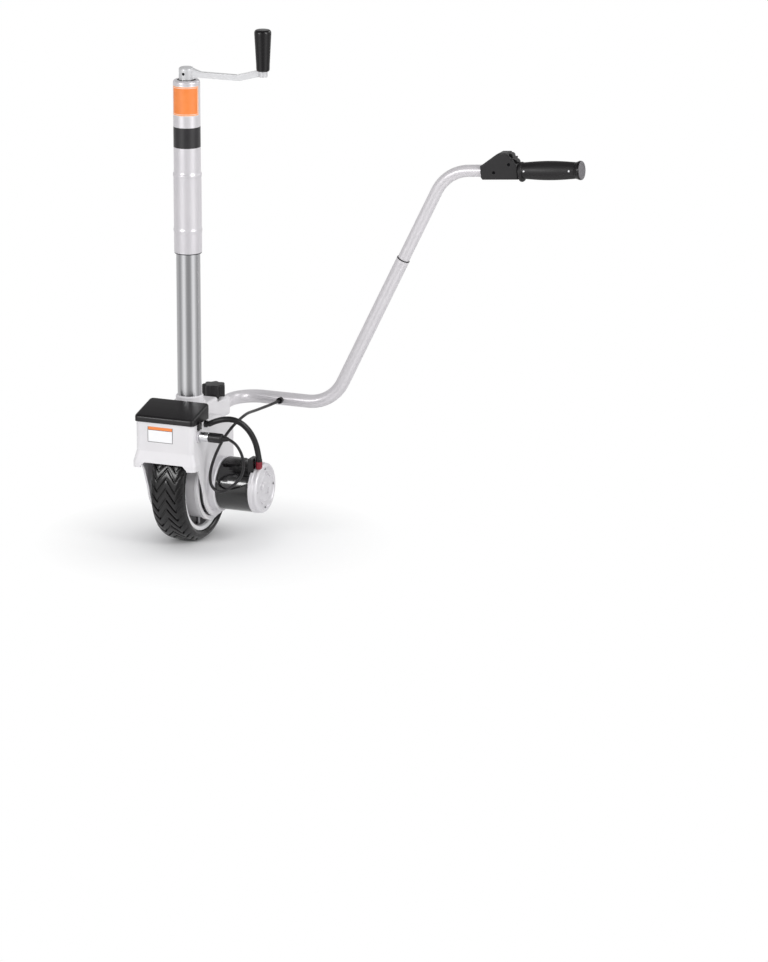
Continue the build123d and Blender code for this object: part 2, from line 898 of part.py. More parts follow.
def gear_blank(outline, left, width):
    face = make_face(Polyline(*outline, close=True))
    return Pos(left, 0, axle_height) * Rot(0, 90, 0) * extrude(face, width)


def planet_orbit():
    return gear_module * (sun_teeth + planet_teeth) / 2


def planet_angle(index):
    return 360.0 * index / planet_count


def make_motor_shaft():
    pitch = gear_module * sun_teeth / 2
    outline = gear_outline(sun_teeth, tooth_backlash / 2, pitch + gear_module * gear_tip,
                           pitch - gear_module * gear_root)
    pinion = gear_blank(outline, gear_left, gear_width)
    return pinion + along_x(shaft_radius, gear_left - 1, end_cap_right - 8)


def make_planet(index):
    pitch = gear_module * planet_teeth / 2
    outline = gear_outline(planet_teeth, tooth_backlash / 2, pitch + gear_module * gear_tip,
                           pitch - gear_module * gear_root)
    gear = gear_blank(outline, gear_left, gear_width)
    gear -= along_x(planet_pin_radius + running_gap, gear_left - 1, gear_left + gear_width + 1)
    half_tooth = 180.0 / planet_teeth
    orbit = planet_orbit()
    turn = Pos(0, 0, axle_height) * Rot(planet_angle(index), 0, 0) * Pos(0, 0, -orbit)
    spin = Rot(half_tooth, 0, 0) * Pos(0, 0, -axle_height)
    return turn * spin * gear


def make_drum():
    pitch = gear_module * ring_teeth / 2
    outline = gear_outline(ring_teeth, -tooth_backlash / 2, pitch + gear_module * gear_root,
                           pitch - gear_module * gear_tip)
    left = hub_flange_right + press_gap
    drum = along_x(drum_radius, left, drum_right)
    drum += along_x(drum_lip_radius, drum_right - drum_lip, drum_right)
    half_tooth = 180.0 / ring_teeth
    space = gear_blank(outline, left + drum_end_thickness, drum_right)
    space = Pos(0, 0, axle_height) * Rot(half_tooth, 0, 0) * Pos(0, 0, -axle_height) * space
    drum -= space
    mouth = pitch + gear_module * gear_root + body_gap
    drum -= along_x(mouth, gear_left + gear_width + drum_mouth_room, drum_right + 1)
    drum -= along_x(hub_boss_radius, left - 1, left + drum_end_thickness + 1)
    for cut in bolt_holes(left - 1, left + drum_end_thickness + 1):
        drum -= cut
    return drum


def make_carrier():
    right = face_right() - housing_wall - press_gap
    plate = along_x(carrier_radius, carrier_left, right)
    plate -= along_x(shaft_radius + body_gap, carrier_left - 1, right + 1)
    for hole in planet_pin_shapes(planet_pin_radius + press_gap, carrier_left - 1, right + 1):
        plate -= hole
    return Compound([plate] + planet_pin_shapes(planet_pin_radius, gear_left - planet_pin_end, right))


def planet_pin_shapes(radius, left, right):
    pin = along_x(radius, left, right, 0, axle_height - planet_orbit())
    return around(planet_count, pin)


def make_axle():
    left = face_left() - axle_nut_height
    shaft = along_x(axle_radius, left, hub_flange_right - 4)
    shoulder_left = face_left() + housing_wall + press_gap
    shoulder = along_x(axle_radius + 4, shoulder_left, bearing_span()[0] - press_gap)
    head = along_x(axle_nut_radius, left, face_left() - press_gap)
    flats = Pos((left + face_left()) / 2, 0, axle_height) * Rot(0, 90, 0) * extrude(
        RegularPolygon(axle_nut_radius, 6), axle_nut_height / 2, both=True)
    return shaft + shoulder + (head & flats)


def bearing_span():
    return hub_boss_left + 2, hub_flange_right - 4 - bearing_width


def make_axle_bearings():
    rings = []
    for left in bearing_span():
        ring = along_x(bearing_outer_radius, left, left + bearing_width)
        rings.append(ring - along_x(axle_radius + press_gap, left, left + bearing_width))
    return Compound(rings)


# Motor
def make_motor_flange():
    left = face_right() + press_gap
    ring = along_x(flange_radius, left, flange_right)
    ring = chamfer(ring.edges().filter_by(GeomType.CIRCLE).sort_by(Axis.X)[-1], 2)
    spigot = along_x(motor_bore_radius - press_gap, face_right() - housing_wall, left)
    flange = ring + spigot
    flange -= along_x(shaft_radius + body_gap, 0, 100)
    seat = flange_right - flange_bearing_depth * 2 - motor_bearing_width
    return flange - along_x(motor_bearing_radius + press_gap, seat, flange_right + 1)


def make_motor_can():
    left = flange_right + press_gap
    can = along_x(motor_radius, left, motor_right)
    return can - along_x(motor_radius - motor_wall, left, motor_right)


def make_magnets():
    outer = motor_radius - motor_wall - press_gap
    left, right = flange_right + magnet_end_room, motor_right - magnet_end_room
    ring = along_x(outer, left, right) - along_x(outer - magnet_thickness, left, right)
    out = flange_radius
    reach = out * tan(radians(magnet_half_angle))
    magnets = []
    for side in (-1, 1):
        corners = [(0, axle_height), (side * out, axle_height + reach),
                   (side * out, axle_height - reach)]
        wedge = Pos(0, side * magnet_half_gap, 0) * side_plate(corners, left, right)
        magnets.append(ring & wedge)
    return Compound(magnets)


def armature_right():
    return motor_right - armature_back_room


def make_armature():
    left, right = flange_right + armature_front_room, armature_right()
    core = along_x(armature_radius, left, right)
    slot_floor = axle_height + armature_radius - armature_slot_depth
    slot = block((left - 1, right + 1), (-armature_slot_width / 2, armature_slot_width / 2),
                 (slot_floor, axle_height + armature_radius + 1))
    for cut in around(armature_slots, slot):
        core -= cut
    end = right + commutator_length
    commutator = along_x(commutator_radius, right, end)
    return core + commutator - along_x(shaft_radius + press_gap, left - 1, end + 1)


def make_motor_bearings():
    rings = []
    for right in (flange_right - flange_bearing_depth, end_cap_right - end_bearing_depth):
        left = right - motor_bearing_width
        ring = along_x(motor_bearing_radius, left, right)
        rings.append(ring - along_x(shaft_radius + running_gap, left, right))
    return Compound(rings)


def make_end_cap():
    left = motor_right + press_gap
    profile = [(left, 0), (left, end_cap_radius), (left + 7, end_cap_radius), (left + 8, end_cap_face_radius),
               (end_cap_right - 3, end_cap_face_radius), (end_cap_right, end_cap_face_radius - 4),
               (end_cap_right - 1.5, end_boss_radius + 12), (end_cap_right - 1.5, end_boss_radius + 2),
               (end_cap_right, end_boss_radius), (end_cap_right, 0)]
    cap = turned_on_axle(profile)
    bearing_right = end_cap_right - end_bearing_depth
    cap -= along_x(end_cap_face_radius - 4, left - 1, bearing_right - motor_bearing_width)
    cap -= along_x(motor_bearing_radius + press_gap, left - 1, bearing_right)
    floor = end_cap_right - cap_screw_sink - cap_screw_length - 0.1
    for hole in cap_screw_shapes(cap_screw_radius + press_gap, floor, end_cap_right + 1):
        cap -= hole
    return cap


def cap_screw_shapes(radius, left, right):
    return around(4, along_x(radius, left, right, 0, axle_height + cap_screw_circle))


def make_brushes():
    left = armature_right() + 2
    low = axle_height + commutator_radius + press_gap * 10
    high = low + brush_length
    brush = block((left, left + brush_width), (-brush_width / 2, brush_width / 2), (low, high))
    holder = block((left, motor_right + 1), (-brush_holder_width / 2, brush_holder_width / 2),
                   (high, axle_height + brush_holder_top))
    return Compound(around(2, brush) + around(2, holder))


def motor_wedge(low, high, left, right):
    ring = along_x(high, left, right) - along_x(low, left, right)
    reach = 90
    start, end = (radians(angle) for angle in strap_angles)
    wedge = side_plate([(0, axle_height), (reach * cos(end), axle_height + reach * sin(end)),
                        (reach * cos(start), axle_height + reach * sin(start))], left, right)
    return ring & wedge


def make_motor_strap():
    low = motor_radius + press_gap
    left = flange_right + 5
    strap = motor_wedge(low, low + strap_thickness, left, block_span[1] - 6)
    pad = motor_wedge(low, low + pad_height, left, pad_right)
    box = block(block_span, (block_front, block_back), (axle_height + motor_radius / 2, block_top))
    box = fillet(box.edges().group_by(Axis.Z)[-1], 1.5)
    box -= along_x(low, left, motor_right + press_gap)
    box -= along_x(end_cap_radius + seat_gap, motor_right, block_span[1] + 1)
    return strap + pad + box


def boot_place():
    end = power_route[-1]
    return end[0], end[1], axle_height + boot_rise


def make_terminal_boot():
    x, y, high = boot_place()
    low = high - boot_height
    boot = turned([(0, low - 4), (boot_radius, low - 4), (boot_radius, high - 4),
                   (power_diameter / 2 + 0.3, high), (0, high)])
    boot = Pos(x, y, 0) * boot
    return boot - along_x(end_cap_radius + seat_gap / 2, motor_right, end_cap_right + 20)


# Handle
def rise_corner():
    return Vector(rise_corner_x, handle_back, handle_height)


def rise_direction():
    return Vector(cos(radians(rise_angle)), 0, sin(radians(rise_angle)))


def grip_corner():
    return rise_corner() + rise_direction() * rise_length


def grip_direction():
    return Vector(cos(radians(grip_angle)), 0, sin(radians(grip_angle)))


def hollow_sweep(path, radius, wall):
    start = Plane(origin=path @ 0, z_dir=path % 0)
    outer = sweep(start * Circle(radius), path)
    inner = sweep(start * Circle(radius - wall), path)
    return outer - inner


def seam_point():
    return rise_corner() + rise_direction() * seam_distance


def button_point():
    return rise_corner() + rise_direction() * (seam_distance - button_back_off)


def button_hole(clearance):
    point = button_point()
    return along_y(button_radius + clearance, handle_back, handle_back + 20, point.X, point.Z)


def make_lower_handle():
    path = FilletPolyline(
        Vector(0, handle_tail, handle_height), Vector(0, handle_back, handle_height), rise_corner(),
        seam_point(), radius=[side_bend_radius, rise_bend_radius])
    tube = hollow_sweep(path, lower_tube_radius, lower_tube_wall)
    tube -= button_hole(seat_gap)
    cable_hole = Vector(grommet_x, handle_back, handle_height)
    return tube - along_y(grommet_radius - 1.5, handle_back - 20, handle_back, cable_hole.X, cable_hole.Z)


def make_upper_handle():
    start = seam_point() - rise_direction() * upper_overlap
    end = grip_corner() + grip_direction() * (grip_end_distance - grip_end_length / 2)
    path = FilletPolyline(start, grip_corner(), end, radius=rise_bend_radius)
    return hollow_sweep(path, upper_tube_radius, upper_tube_wall) - button_hole(seat_gap)


def button_head_top():
    bore = upper_tube_radius - upper_tube_wall
    return sqrt(bore ** 2 - button_head_radius ** 2) - seat_gap


def make_spring_button():
    point = button_point()
    top = handle_back + button_head_top()
    head = along_y(button_head_radius, top - button_head_height, top, point.X, point.Z)
    outside = handle_back + lower_tube_radius + button_stand
    return head + along_y(button_radius, top - button_head_height, outside, point.X, point.Z)


def make_button_spring():
    near = button_head_top() - button_head_height - button_travel - seat_gap
    bore = upper_tube_radius - upper_tube_wall
    far = seat_gap - sqrt(bore ** 2 - (spring_width / 2) ** 2)
    across = rise_direction().cross(Vector(0, 1, 0))
    base = Plane(origin=button_point(), x_dir=rise_direction(), z_dir=across)
    outline = Polyline(
        (-22, far), (-22, far + spring_leaf), (-6, near), (5, near), (5, near - spring_leaf),
        (-5, near - spring_leaf), (-18, far), close=True)
    return extrude(base * make_face(outline), spring_width / 2, both=True)


def make_grommet():
    surface = handle_back - lower_tube_radius
    body = along_y(grommet_radius, surface - grommet_length, surface + 1.2, grommet_x)
    tube = Pos(grommet_x, handle_back, handle_height) * Rot(0, 90, 0) * Cylinder(
        lower_tube_radius + press_gap, 40)
    return body - tube


# Switch housing, hand grip and rocker, drawn along the grip's axis and then put in place
def on_grip(shape):
    corner = grip_corner()
    return Pos(corner.X, corner.Y, corner.Z) * Rot(0, -grip_angle, 0) * shape


def grip_rod(radius, start, end):
    return Pos((start + end) / 2, 0, 0) * Rot(0, 90, 0) * Cylinder(radius, end - start)


def switch_outline(inset=0.0):
    start, end = housing_start + inset, housing_end - inset
    low, high = switch_bottom + inset, switch_top - inset
    return [(start + 3, low), (end, low), (end, 11), (end - 14, high - 6), (end - 20, high),
            (start + 38, high), (start + 34, high - 2), (start, 11), (start, low + 4)]


def switch_solid(inset=0.0):
    half = switch_half_width - inset
    outline = Plane.XZ * make_face(Polyline(*switch_outline(inset), close=True))
    return extrude(outline, half, both=True)


def rocker_frame():
    x = housing_end - 9.5
    z = switch_top - 11.5
    return Pos(x, 0, z) * Rot(0, rocker_angle, 0)


def make_switch_housing(side):
    solid = switch_solid()
    faces = solid.faces().sort_by(Axis.Y)
    solid = fillet(faces[0].edges() + faces[-1].edges(), 2)
    cavity = switch_solid(switch_wall)
    cavity -= grip_rod(switch_half_width - 1, housing_start, housing_start + 9)
    solid = solid - cavity
    solid -= grip_rod(upper_tube_radius + press_gap, housing_start - 1, housing_end + 1)
    pocket = rocker_frame() * Box(rocker_length + 1.4, rocker_width + 1.4, 2 * rocker_thickness + 6)
    solid -= pocket + rocker_frame() * trunnions(trunnion_radius + running_gap, trunnion_reach + seat_gap)
    for screw in switch_screw_places():
        solid -= Pos(*screw) * Rot(90, 0, 0) * Cylinder(switch_screw_radius + press_gap, 6)
    keep = block((0, 400), (-40, -press_gap) if side < 0 else (press_gap, 40), (-60, 80))
    return on_grip(solid & keep)


def switch_screw_places():
    return [(housing_start + 27, -switch_half_width, -1), (housing_end - 16, -switch_half_width, 14)]


def make_cover_screws():
    sunk = end_cap_right - cap_screw_sink
    screws = cap_screw_shapes(cap_screw_radius, sunk - cap_screw_length, sunk)
    for x, y, z in switch_screw_places():
        screw = Pos(x, y + 1.8, z) * Rot(90, 0, 0) * Cylinder(switch_screw_radius, 2.4)
        socket = Pos(x, y, z) * Rot(90, 0, 0) * extrude(RegularPolygon(1.7, 6), 1.5, both=True)
        screws.append(on_grip(screw - socket))
    return Compound(screws)


def make_rocker():
    body = Box(rocker_length, rocker_width, rocker_thickness)
    waist = Rot(90, 0, 0) * Cylinder(rocker_waist_radius, rocker_width + 2)
    waist = Pos(0, 0, rocker_thickness / 2 - rocker_waist_depth + rocker_waist_radius) * waist
    body = fillet(body.edges().filter_by(Axis.Y).group_by(Axis.Z)[-1], 2.2)
    return on_grip(rocker_frame() * (body - waist + trunnions(trunnion_radius, trunnion_reach)))


def trunnions(radius, reach):
    return Rot(90, 0, 0) * Cylinder(radius, 2 * reach)


def make_switch_block():
    body = Box(switch_block_length, rocker_width - 2, switch_block_thickness)
    dip = rocker_length / 2 * sin(radians(rocker_swing)) + body_gap
    sink = rocker_thickness / 2 + dip + switch_block_thickness / 2
    return on_grip(rocker_frame() * Pos(0, 0, -sink) * body)


def make_hand_grip():
    start = housing_end + press_gap
    end = grip_end_distance - grip_end_length
    neck = start + grip_flange_thickness
    bore = upper_tube_radius + press_gap
    crown = ThreePointArc((neck, hand_grip_end_radius), ((neck + end) / 2, hand_grip_radius),
                          (end, hand_grip_end_radius))
    outline = Polyline((end, hand_grip_end_radius), (end, bore), (start, bore),
                       (start, hand_grip_end_radius), (neck, hand_grip_end_radius))
    body = revolve(Plane.XZ * make_face(crown + outline), Axis.X)
    flange = Pos(0, 0, -grip_flange_drop) * grip_rod(grip_flange_radius, start, neck)
    flange = fillet(flange.edges().filter_by(GeomType.CIRCLE), 2.5)
    return on_grip(body + flange - grip_rod(bore, start - 1, end + 1))


def make_grip_end():
    start = grip_end_distance - grip_end_length + press_gap
    end = grip_end_distance
    profile = Plane.XZ * make_face(Polyline(
        (start, 0), (start, hand_grip_end_radius), (start + 5, grip_end_radius - 0.8),
        (end - 3, grip_end_radius), (end - 0.8, grip_end_radius - 1), (end, grip_end_radius - 3),
        (end, 0), close=True))
    cap = revolve(profile, Axis.X)
    tube_end = grip_end_distance - grip_end_length / 2 + press_gap
    return on_grip(cap - grip_rod(upper_tube_radius + press_gap, start - 1, tube_end))


# Cables as straight runs joined by tangent arcs
def corner_radii(route):
    points = [Vector(*point) for point in route]
    radii = []
    for before, here, after in zip(points, points[1:], points[2:]):
        run_in, run_out = here - before, after - here
        half_turn = radians(run_in.get_angle(run_out)) / 2
        radii.append(0.45 * min(run_in.length, run_out.length) / tan(half_turn))
    return radii


def make_cable(name, route, diameter):
    radii = corner_radii(route)
    print(name, "radii", [round(radius, 1) for radius in radii])
    path = FilletPolyline(*[Vector(*point) for point in route], radius=radii)
    start = Plane(origin=path @ 0, z_dir=path % 0)
    tube = sweep(start * Circle(diameter / 2), path)
    section = pi * diameter ** 2 / 4
    ratio = tube.volume / (section * path.length)
    print(name, "length", round(path.length, 1), "volume ratio", round(ratio, 4))
    return tube


pieces = {
    "outer_tube": make_outer_tube,
    "guide_bush": make_guide_bush,
    "tube_cap": make_tube_cap,
    "thrust_bearing": make_thrust_bearing,
    "lift_screw": make_lift_screw,
    "crank_arm": make_crank_arm,
    "roll_pin": make_roll_pin,
    "grip_spindle": make_grip_spindle,
    "crank_grip": make_crank_grip,
    "lift_nut": make_lift_nut,
    "swivel_rings": make_swivel_rings,
    "inner_tube": make_inner_tube,
    "foot_collar": make_foot_collar,
    "fork_housing": make_housing,
    "steering_bridge": make_bridge,
    "clamp_knob": make_clamp_knob,
    "clamp_screw": make_clamp_screw,
    "control_lid": make_lid,
    "control_board": make_board,
    "lid_clips": make_lid_clips,
    "cable_gland": make_gland,
    "control_socket": make_socket,
    "plug_ring": make_plug_ring,
    "plug_body": make_plug_body,
    "tyre": make_tyre,
    "wheel_rim": make_rim,
    "valve_stem": make_valve,
    "wheel_hub": make_wheel_hub,
    "wheel_bolts": make_wheel_bolts,
    "gear_drum": make_drum,
    "axle": make_axle,
    "axle_bearings": make_axle_bearings,
    "gear_carrier": make_carrier,
    "motor_flange": make_motor_flange,
    "motor_can": make_motor_can,
    "motor_magnets": make_magnets,
    "motor_armature": make_armature,
    "motor_shaft": make_motor_shaft,
    "motor_bearings": make_motor_bearings,
    "motor_end_cap": make_end_cap,
    "motor_brushes": make_brushes,
    "motor_strap": make_motor_strap,
    "terminal_boot": make_terminal_boot,
    "lower_handle": make_lower_handle,
    "upper_handle": make_upper_handle,
    "spring_button": make_spring_button,
    "button_spring": make_button_spring,
    "cable_grommet": make_grommet,
    "rocker_switch": make_rocker,
    "switch_block": make_switch_block,
    "hand_grip": make_hand_grip,
    "grip_end": make_grip_end,
    "cover_screws": make_cover_screws,
}


def make_all():
    made = {name: make() for name, make in pieces.items()}
    for index in range(planet_count):
        made[f"planet_gear_{index + 1}"] = make_planet(index)
    made["switch_front_shell"] = make_switch_housing(-1)
    made["switch_back_shell"] = make_switch_housing(1)
    made["power_cable"] = make_cable("power cable", power_route, power_diameter)
    made["control_cable"] = make_cable("control cable", control_route, control_diameter)
    return made


def main():
    os.makedirs("parts", exist_ok=True)
    for name, shape in make_all().items():
        export_step(Pos(0, 0, -clamp_height) * shape, f"parts/{name}.step")


main()
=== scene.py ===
from math import atan2, cos, pi, radians, sin

import bmesh
import bpy
from mathutils import Matrix, Vector


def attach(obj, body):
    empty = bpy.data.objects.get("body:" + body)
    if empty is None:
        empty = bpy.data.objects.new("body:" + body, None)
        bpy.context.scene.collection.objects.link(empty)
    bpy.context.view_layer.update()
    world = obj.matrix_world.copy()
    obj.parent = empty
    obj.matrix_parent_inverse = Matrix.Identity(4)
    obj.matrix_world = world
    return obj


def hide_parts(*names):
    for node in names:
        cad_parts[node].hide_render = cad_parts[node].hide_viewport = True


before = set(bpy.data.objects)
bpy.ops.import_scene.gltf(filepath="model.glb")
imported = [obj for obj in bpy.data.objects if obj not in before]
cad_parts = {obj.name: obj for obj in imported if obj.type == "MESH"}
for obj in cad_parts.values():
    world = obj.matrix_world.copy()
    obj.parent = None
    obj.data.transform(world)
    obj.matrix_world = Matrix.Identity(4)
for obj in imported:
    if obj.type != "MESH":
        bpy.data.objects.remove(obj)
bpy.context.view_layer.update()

# Trailer dolly, in metres. The origin is on the post's axis at the middle of its clamp band,
# X runs along the wheel's axle to the motor, Y runs back from the control box and Z is up.
mm = 0.001
axle_z = -0.536
floor_z = -0.649


# Camera at the photograph's angle, from the right and a little above, far off so that uprights stay upright
camera_place = (4.0165, -8.7209, 2.1167)
camera_fall = 15.470
camera_turn = 22.551
camera_sensor = 36.0
camera_lens = 197.54
camera_reach = 60.0


def make_camera():
    data = bpy.data.cameras.new("camera")
    data.sensor_width = camera_sensor
    data.lens = camera_lens
    data.clip_end = camera_reach
    camera = bpy.data.objects.new("camera", data)
    camera.location = camera_place
    camera.rotation_euler = (radians(90 - camera_fall), 0, radians(camera_turn))
    bpy.context.scene.collection.objects.link(camera)
    bpy.context.scene.camera = camera


make_camera()


# Material helpers
def linear(code):
    """A linear colour with alpha from six hex digits in sRGB."""
    channels = [int(code[i:i + 2], 16) / 255 for i in (0, 2, 4)]
    return tuple(c / 12.92 if c <= 0.04045 else ((c + 0.055) / 1.055) ** 2.4 for c in channels) + (1.0,)


def put(tree, kind, inputs=None, **settings):
    """Adds a node; inputs are values or sockets to link, and settings are attributes of the node."""
    node = tree.nodes.new(kind)
    for name, value in settings.items():
        setattr(node, name, value)
    for key, value in (inputs or {}).items():
        if isinstance(value, bpy.types.NodeSocket):
            tree.links.new(value, node.inputs[key])
        else:
            node.inputs[key].default_value = value
    return node


def start_material(name, **constants):
    """A material with a Principled shader; constants are its inputs, with _ for a space."""
    material = bpy.data.materials.new(name)
    material.use_nodes = True
    tree = material.node_tree
    tree.nodes.clear()
    inputs = {key.replace("_", " "): value for key, value in constants.items()}
    shader = put(tree, "ShaderNodeBsdfPrincipled", inputs)
    put(tree, "ShaderNodeOutputMaterial", {"Surface": shader.outputs["BSDF"]})
    place = put(tree, "ShaderNodeTexCoord").outputs["Object"]
    return material, tree, shader, place


# The colour sockets and result of a Mix node, by number, because its names repeat
mix_first, mix_second, mix_result = 6, 7, 2


def surface_skin(tree, shader, place, dark, light, patch, grain, depth, gloss, edge_radius=0.7):
    """Two close colours in soft patches, a fine grain as bump, and roughness that wanders a little.

    patch, grain, depth and edge_radius are millimetres, and gloss is the lowest and highest roughness.
    A real grain under about 0.7 mm is too fine to show, so it is drawn as coarse as it needs to be.
    """
    cloud = put(tree, "ShaderNodeTexNoise", {"Vector": place, "Scale": 1000 / patch, "Detail": 4.0})
    mix = put(tree, "ShaderNodeMix", {0: cloud.outputs[0], mix_first: linear(dark),
                                      mix_second: linear(light)}, data_type="RGBA")
    tree.links.new(mix.outputs[mix_result], shader.inputs["Base Color"])
    fine = put(tree, "ShaderNodeTexNoise", {"Vector": place, "Scale": 1000 / grain, "Detail": 3.0})
    bump = put(tree, "ShaderNodeBump", {"Height": fine.outputs[0], "Strength": 1.0, "Distance": depth * mm})
    if edge_radius:
        edge = put(tree, "ShaderNodeBevel", {"Radius": edge_radius * mm}, samples=4)
        tree.links.new(edge.outputs["Normal"], bump.inputs["Normal"])
    tree.links.new(bump.outputs["Normal"], shader.inputs["Normal"])
    spread = put(tree, "ShaderNodeMapRange", {"Value": cloud.outputs[0], "From Min": 0.3, "From Max": 0.7,
                                              "To Min": gloss[0], "To Max": gloss[1]})
    tree.links.new(spread.outputs["Result"], shader.inputs["Roughness"])


# Painted and plated metal
def stove_enamel(name, dark, light, gloss=(0.36, 0.46)):
    # Stove enamel, sprayed and baked on: an even satin skin with a faint orange peel and soft mottling
    material, tree, shader, place = start_material(name, Coat_Weight=0.2, Coat_Roughness=0.25)
    surface_skin(tree, shader, place, dark, light, patch=55, grain=1.4, depth=0.012, gloss=gloss)
    return material


def metallic_paint(name, dark, light, metal):
    # Silver paint full of fine aluminium flake: between paint and metal, with soft upright highlights.
    # The flake is too fine to show, so the grain is the slow ripple of the sprayed coat.
    material, tree, shader, place = start_material(name, Metallic=metal, Coat_Weight=0.15, Coat_Roughness=0.2)
    surface_skin(tree, shader, place, dark, light, patch=60, grain=6.0, depth=0.002, gloss=(0.31, 0.33),
                 edge_radius=0)
    return material


def gloss_enamel(name, dark, light):
    # Baked black enamel on the motor's drawn can: deep, glossy, with a long faint ripple
    material, tree, shader, place = start_material(name, Coat_Weight=0.8, Coat_Roughness=0.06)
    surface_skin(tree, shader, place, dark, light, patch=18, grain=6.0, depth=0.02, gloss=(0.16, 0.24))
    return material


def chrome_plate(name):
    # Polished chrome on a ground tube: mirror bright, with faint marks drawn out along it
    material, tree, shader, place = start_material(name, Metallic=1.0)
    stretched = put(tree, "ShaderNodeMapping", {"Vector": place, "Scale": (1.0, 1.0, 0.12)})
    surface_skin(tree, shader, stretched.outputs["Vector"], "d6d6d9", "e6e6e8", patch=26, grain=3.0,
                 depth=0.0015, gloss=(0.15, 0.22), edge_radius=0)
    return material


def zinc_satin(name, dark, light, gloss=(0.30, 0.40)):
    # Bright zinc under a clear satin passivate: soft metal sheen, cloudy like frost.
    # The frost is drawn at 1.6 mm, coarser than plated crystals, so that it shows.
    material, tree, shader, place = start_material(name, Metallic=0.3, Coat_Weight=0.15, Coat_Roughness=0.3)
    surface_skin(tree, shader, place, dark, light, patch=22, grain=1.6, depth=0.003, gloss=gloss)
    return material


def machined_steel(name, dark, light):
    # Turned and ground steel, lightly oiled: a close grain of tool marks, drawn coarser than real ones
    material, tree, shader, place = start_material(name, Metallic=1.0)
    surface_skin(tree, shader, place, dark, light, patch=16, grain=0.9, depth=0.01, gloss=(0.24, 0.38))
    return material


def die_cast(name, dark, light):
    # Die cast aluminium, shot blasted: dull silver with flow marks and a sandy grain, drawn a little coarse
    material, tree, shader, place = start_material(name, Metallic=0.35)
    surface_skin(tree, shader, place, dark, light, patch=28, grain=0.8, depth=0.03, gloss=(0.38, 0.52))
    return material


# Plastic and rubber
def moulded_plastic(name, dark, light, gloss=(0.42, 0.52), grain=0.9, depth=0.05):
    # ABS, injection moulded in a spark textured mould: near black with a fine leathery grain.
    # The grain is drawn some three times as coarse as a spark texture, so that it shows.
    material, tree, shader, place = start_material(name, IOR=1.5)
    surface_skin(tree, shader, place, dark, light, patch=35, grain=grain, depth=depth, gloss=gloss)
    return material


def brushed_lid(name):
    # ABS lid whose mould was polished along the box: long faint lines across its top
    material, tree, shader, place = start_material(name, IOR=1.5)
    lines = put(tree, "ShaderNodeMapping", {"Vector": place, "Scale": (0.06, 1.0, 1.0)})
    surface_skin(tree, shader, lines.outputs["Vector"], "100e10", "191719", patch=9, grain=2.2, depth=0.02,
                 gloss=(0.28, 0.40))
    return material


def cable_jacket(name, dark, light):
    # Extruded rubber jacket: black and supple, with a soft shine and slight waves from the die
    material, tree, shader, place = start_material(name, IOR=1.52)
    surface_skin(tree, shader, place, dark, light, patch=12, grain=2.4, depth=0.06, gloss=(0.34, 0.46))
    return material


def tyre_compound(name):
    # Vulcanised tyre rubber: charcoal black with a pebbled skin and the faint gloss of the mould
    material, tree, shader, place = start_material(name, IOR=1.52)
    surface_skin(tree, shader, place, "0a090a", "141214", patch=20, grain=0.8, depth=0.03, gloss=(0.19, 0.30))
    return material


# Hidden pieces
def plain_filled(name, dark, light, gloss):
    # Pressed or sintered fillers, such as ferrite, carbon and solder mask: even with a fine speckle
    material, tree, shader, place = start_material(name)
    surface_skin(tree, shader, place, dark, light, patch=6, grain=0.7, depth=0.02, gloss=gloss)
    return material


post_coat = metallic_paint("silver_flake_paint", "dad7db", "e0dde0", 0.4)
housing_coat = stove_enamel("pale_grey_stove_enamel", "d9d7d9", "e1dfe1")
# The rim's barrel and disc are drawn dark grey: painted shade for the silver barrel shut in by the tyre and
# housing; the lips stay white
barrel_shade_coat = stove_enamel("rim_barrel_painted_shade", "666467", "757376", gloss=(0.3, 0.4))
lip_coat = stove_enamel("white_rim_enamel", "dfdfe0", "e9e9ea")
motor_enamel = gloss_enamel("black_motor_enamel", "070607", "0c0b0d")
chrome = chrome_plate("chrome_plate")
tube_zinc = metallic_paint("silver_tube_paint", "d5d2d5", "dad7da", 0.25)
crank_zinc = zinc_satin("satin_zinc_forging", "cbcbcd", "d9d9da")
steel = machined_steel("ground_steel", "8b8b8e", "a4a4a6")
cast_aluminium = die_cast("blasted_die_cast_aluminium", "d3d1d4", "e2e0e3")
black_oxide = machined_steel("black_oxide_steel", "151517", "1f1f21")
bronze = machined_steel("bearing_bronze", "8f6c35", "a98247")
black_abs = moulded_plastic("textured_black_abs", "121013", "1b191b", gloss=(0.36, 0.46))
smooth_abs = moulded_plastic("smooth_black_abs", "0e0c0e", "151315", gloss=(0.22, 0.32), grain=3.0,
                             depth=0.02)
lid_abs = brushed_lid("polished_black_abs")
grip_rubber = moulded_plastic("soft_grip_rubber", "0e0c0e", "161416", gloss=(0.22, 0.32), grain=0.8,
                              depth=0.03)
power_jacket = cable_jacket("power_cable_rubber", "0f0d0f", "181618")
control_jacket = cable_jacket("control_cable_rubber", "151315", "201e20")
red_rubber = cable_jacket("dark_red_boot_rubber", "6e0f1e", "8c1a2c")
tyre_rubber = tyre_compound("tyre_rubber")
solder_mask = plain_filled("green_solder_mask", "0f4a26", "17602f", (0.25, 0.35))
ferrite = plain_filled("sintered_ferrite", "3a3a3c", "48484a", (0.5, 0.6))
carbon = plain_filled("pressed_carbon", "2a2a2b", "353536", (0.5, 0.65))

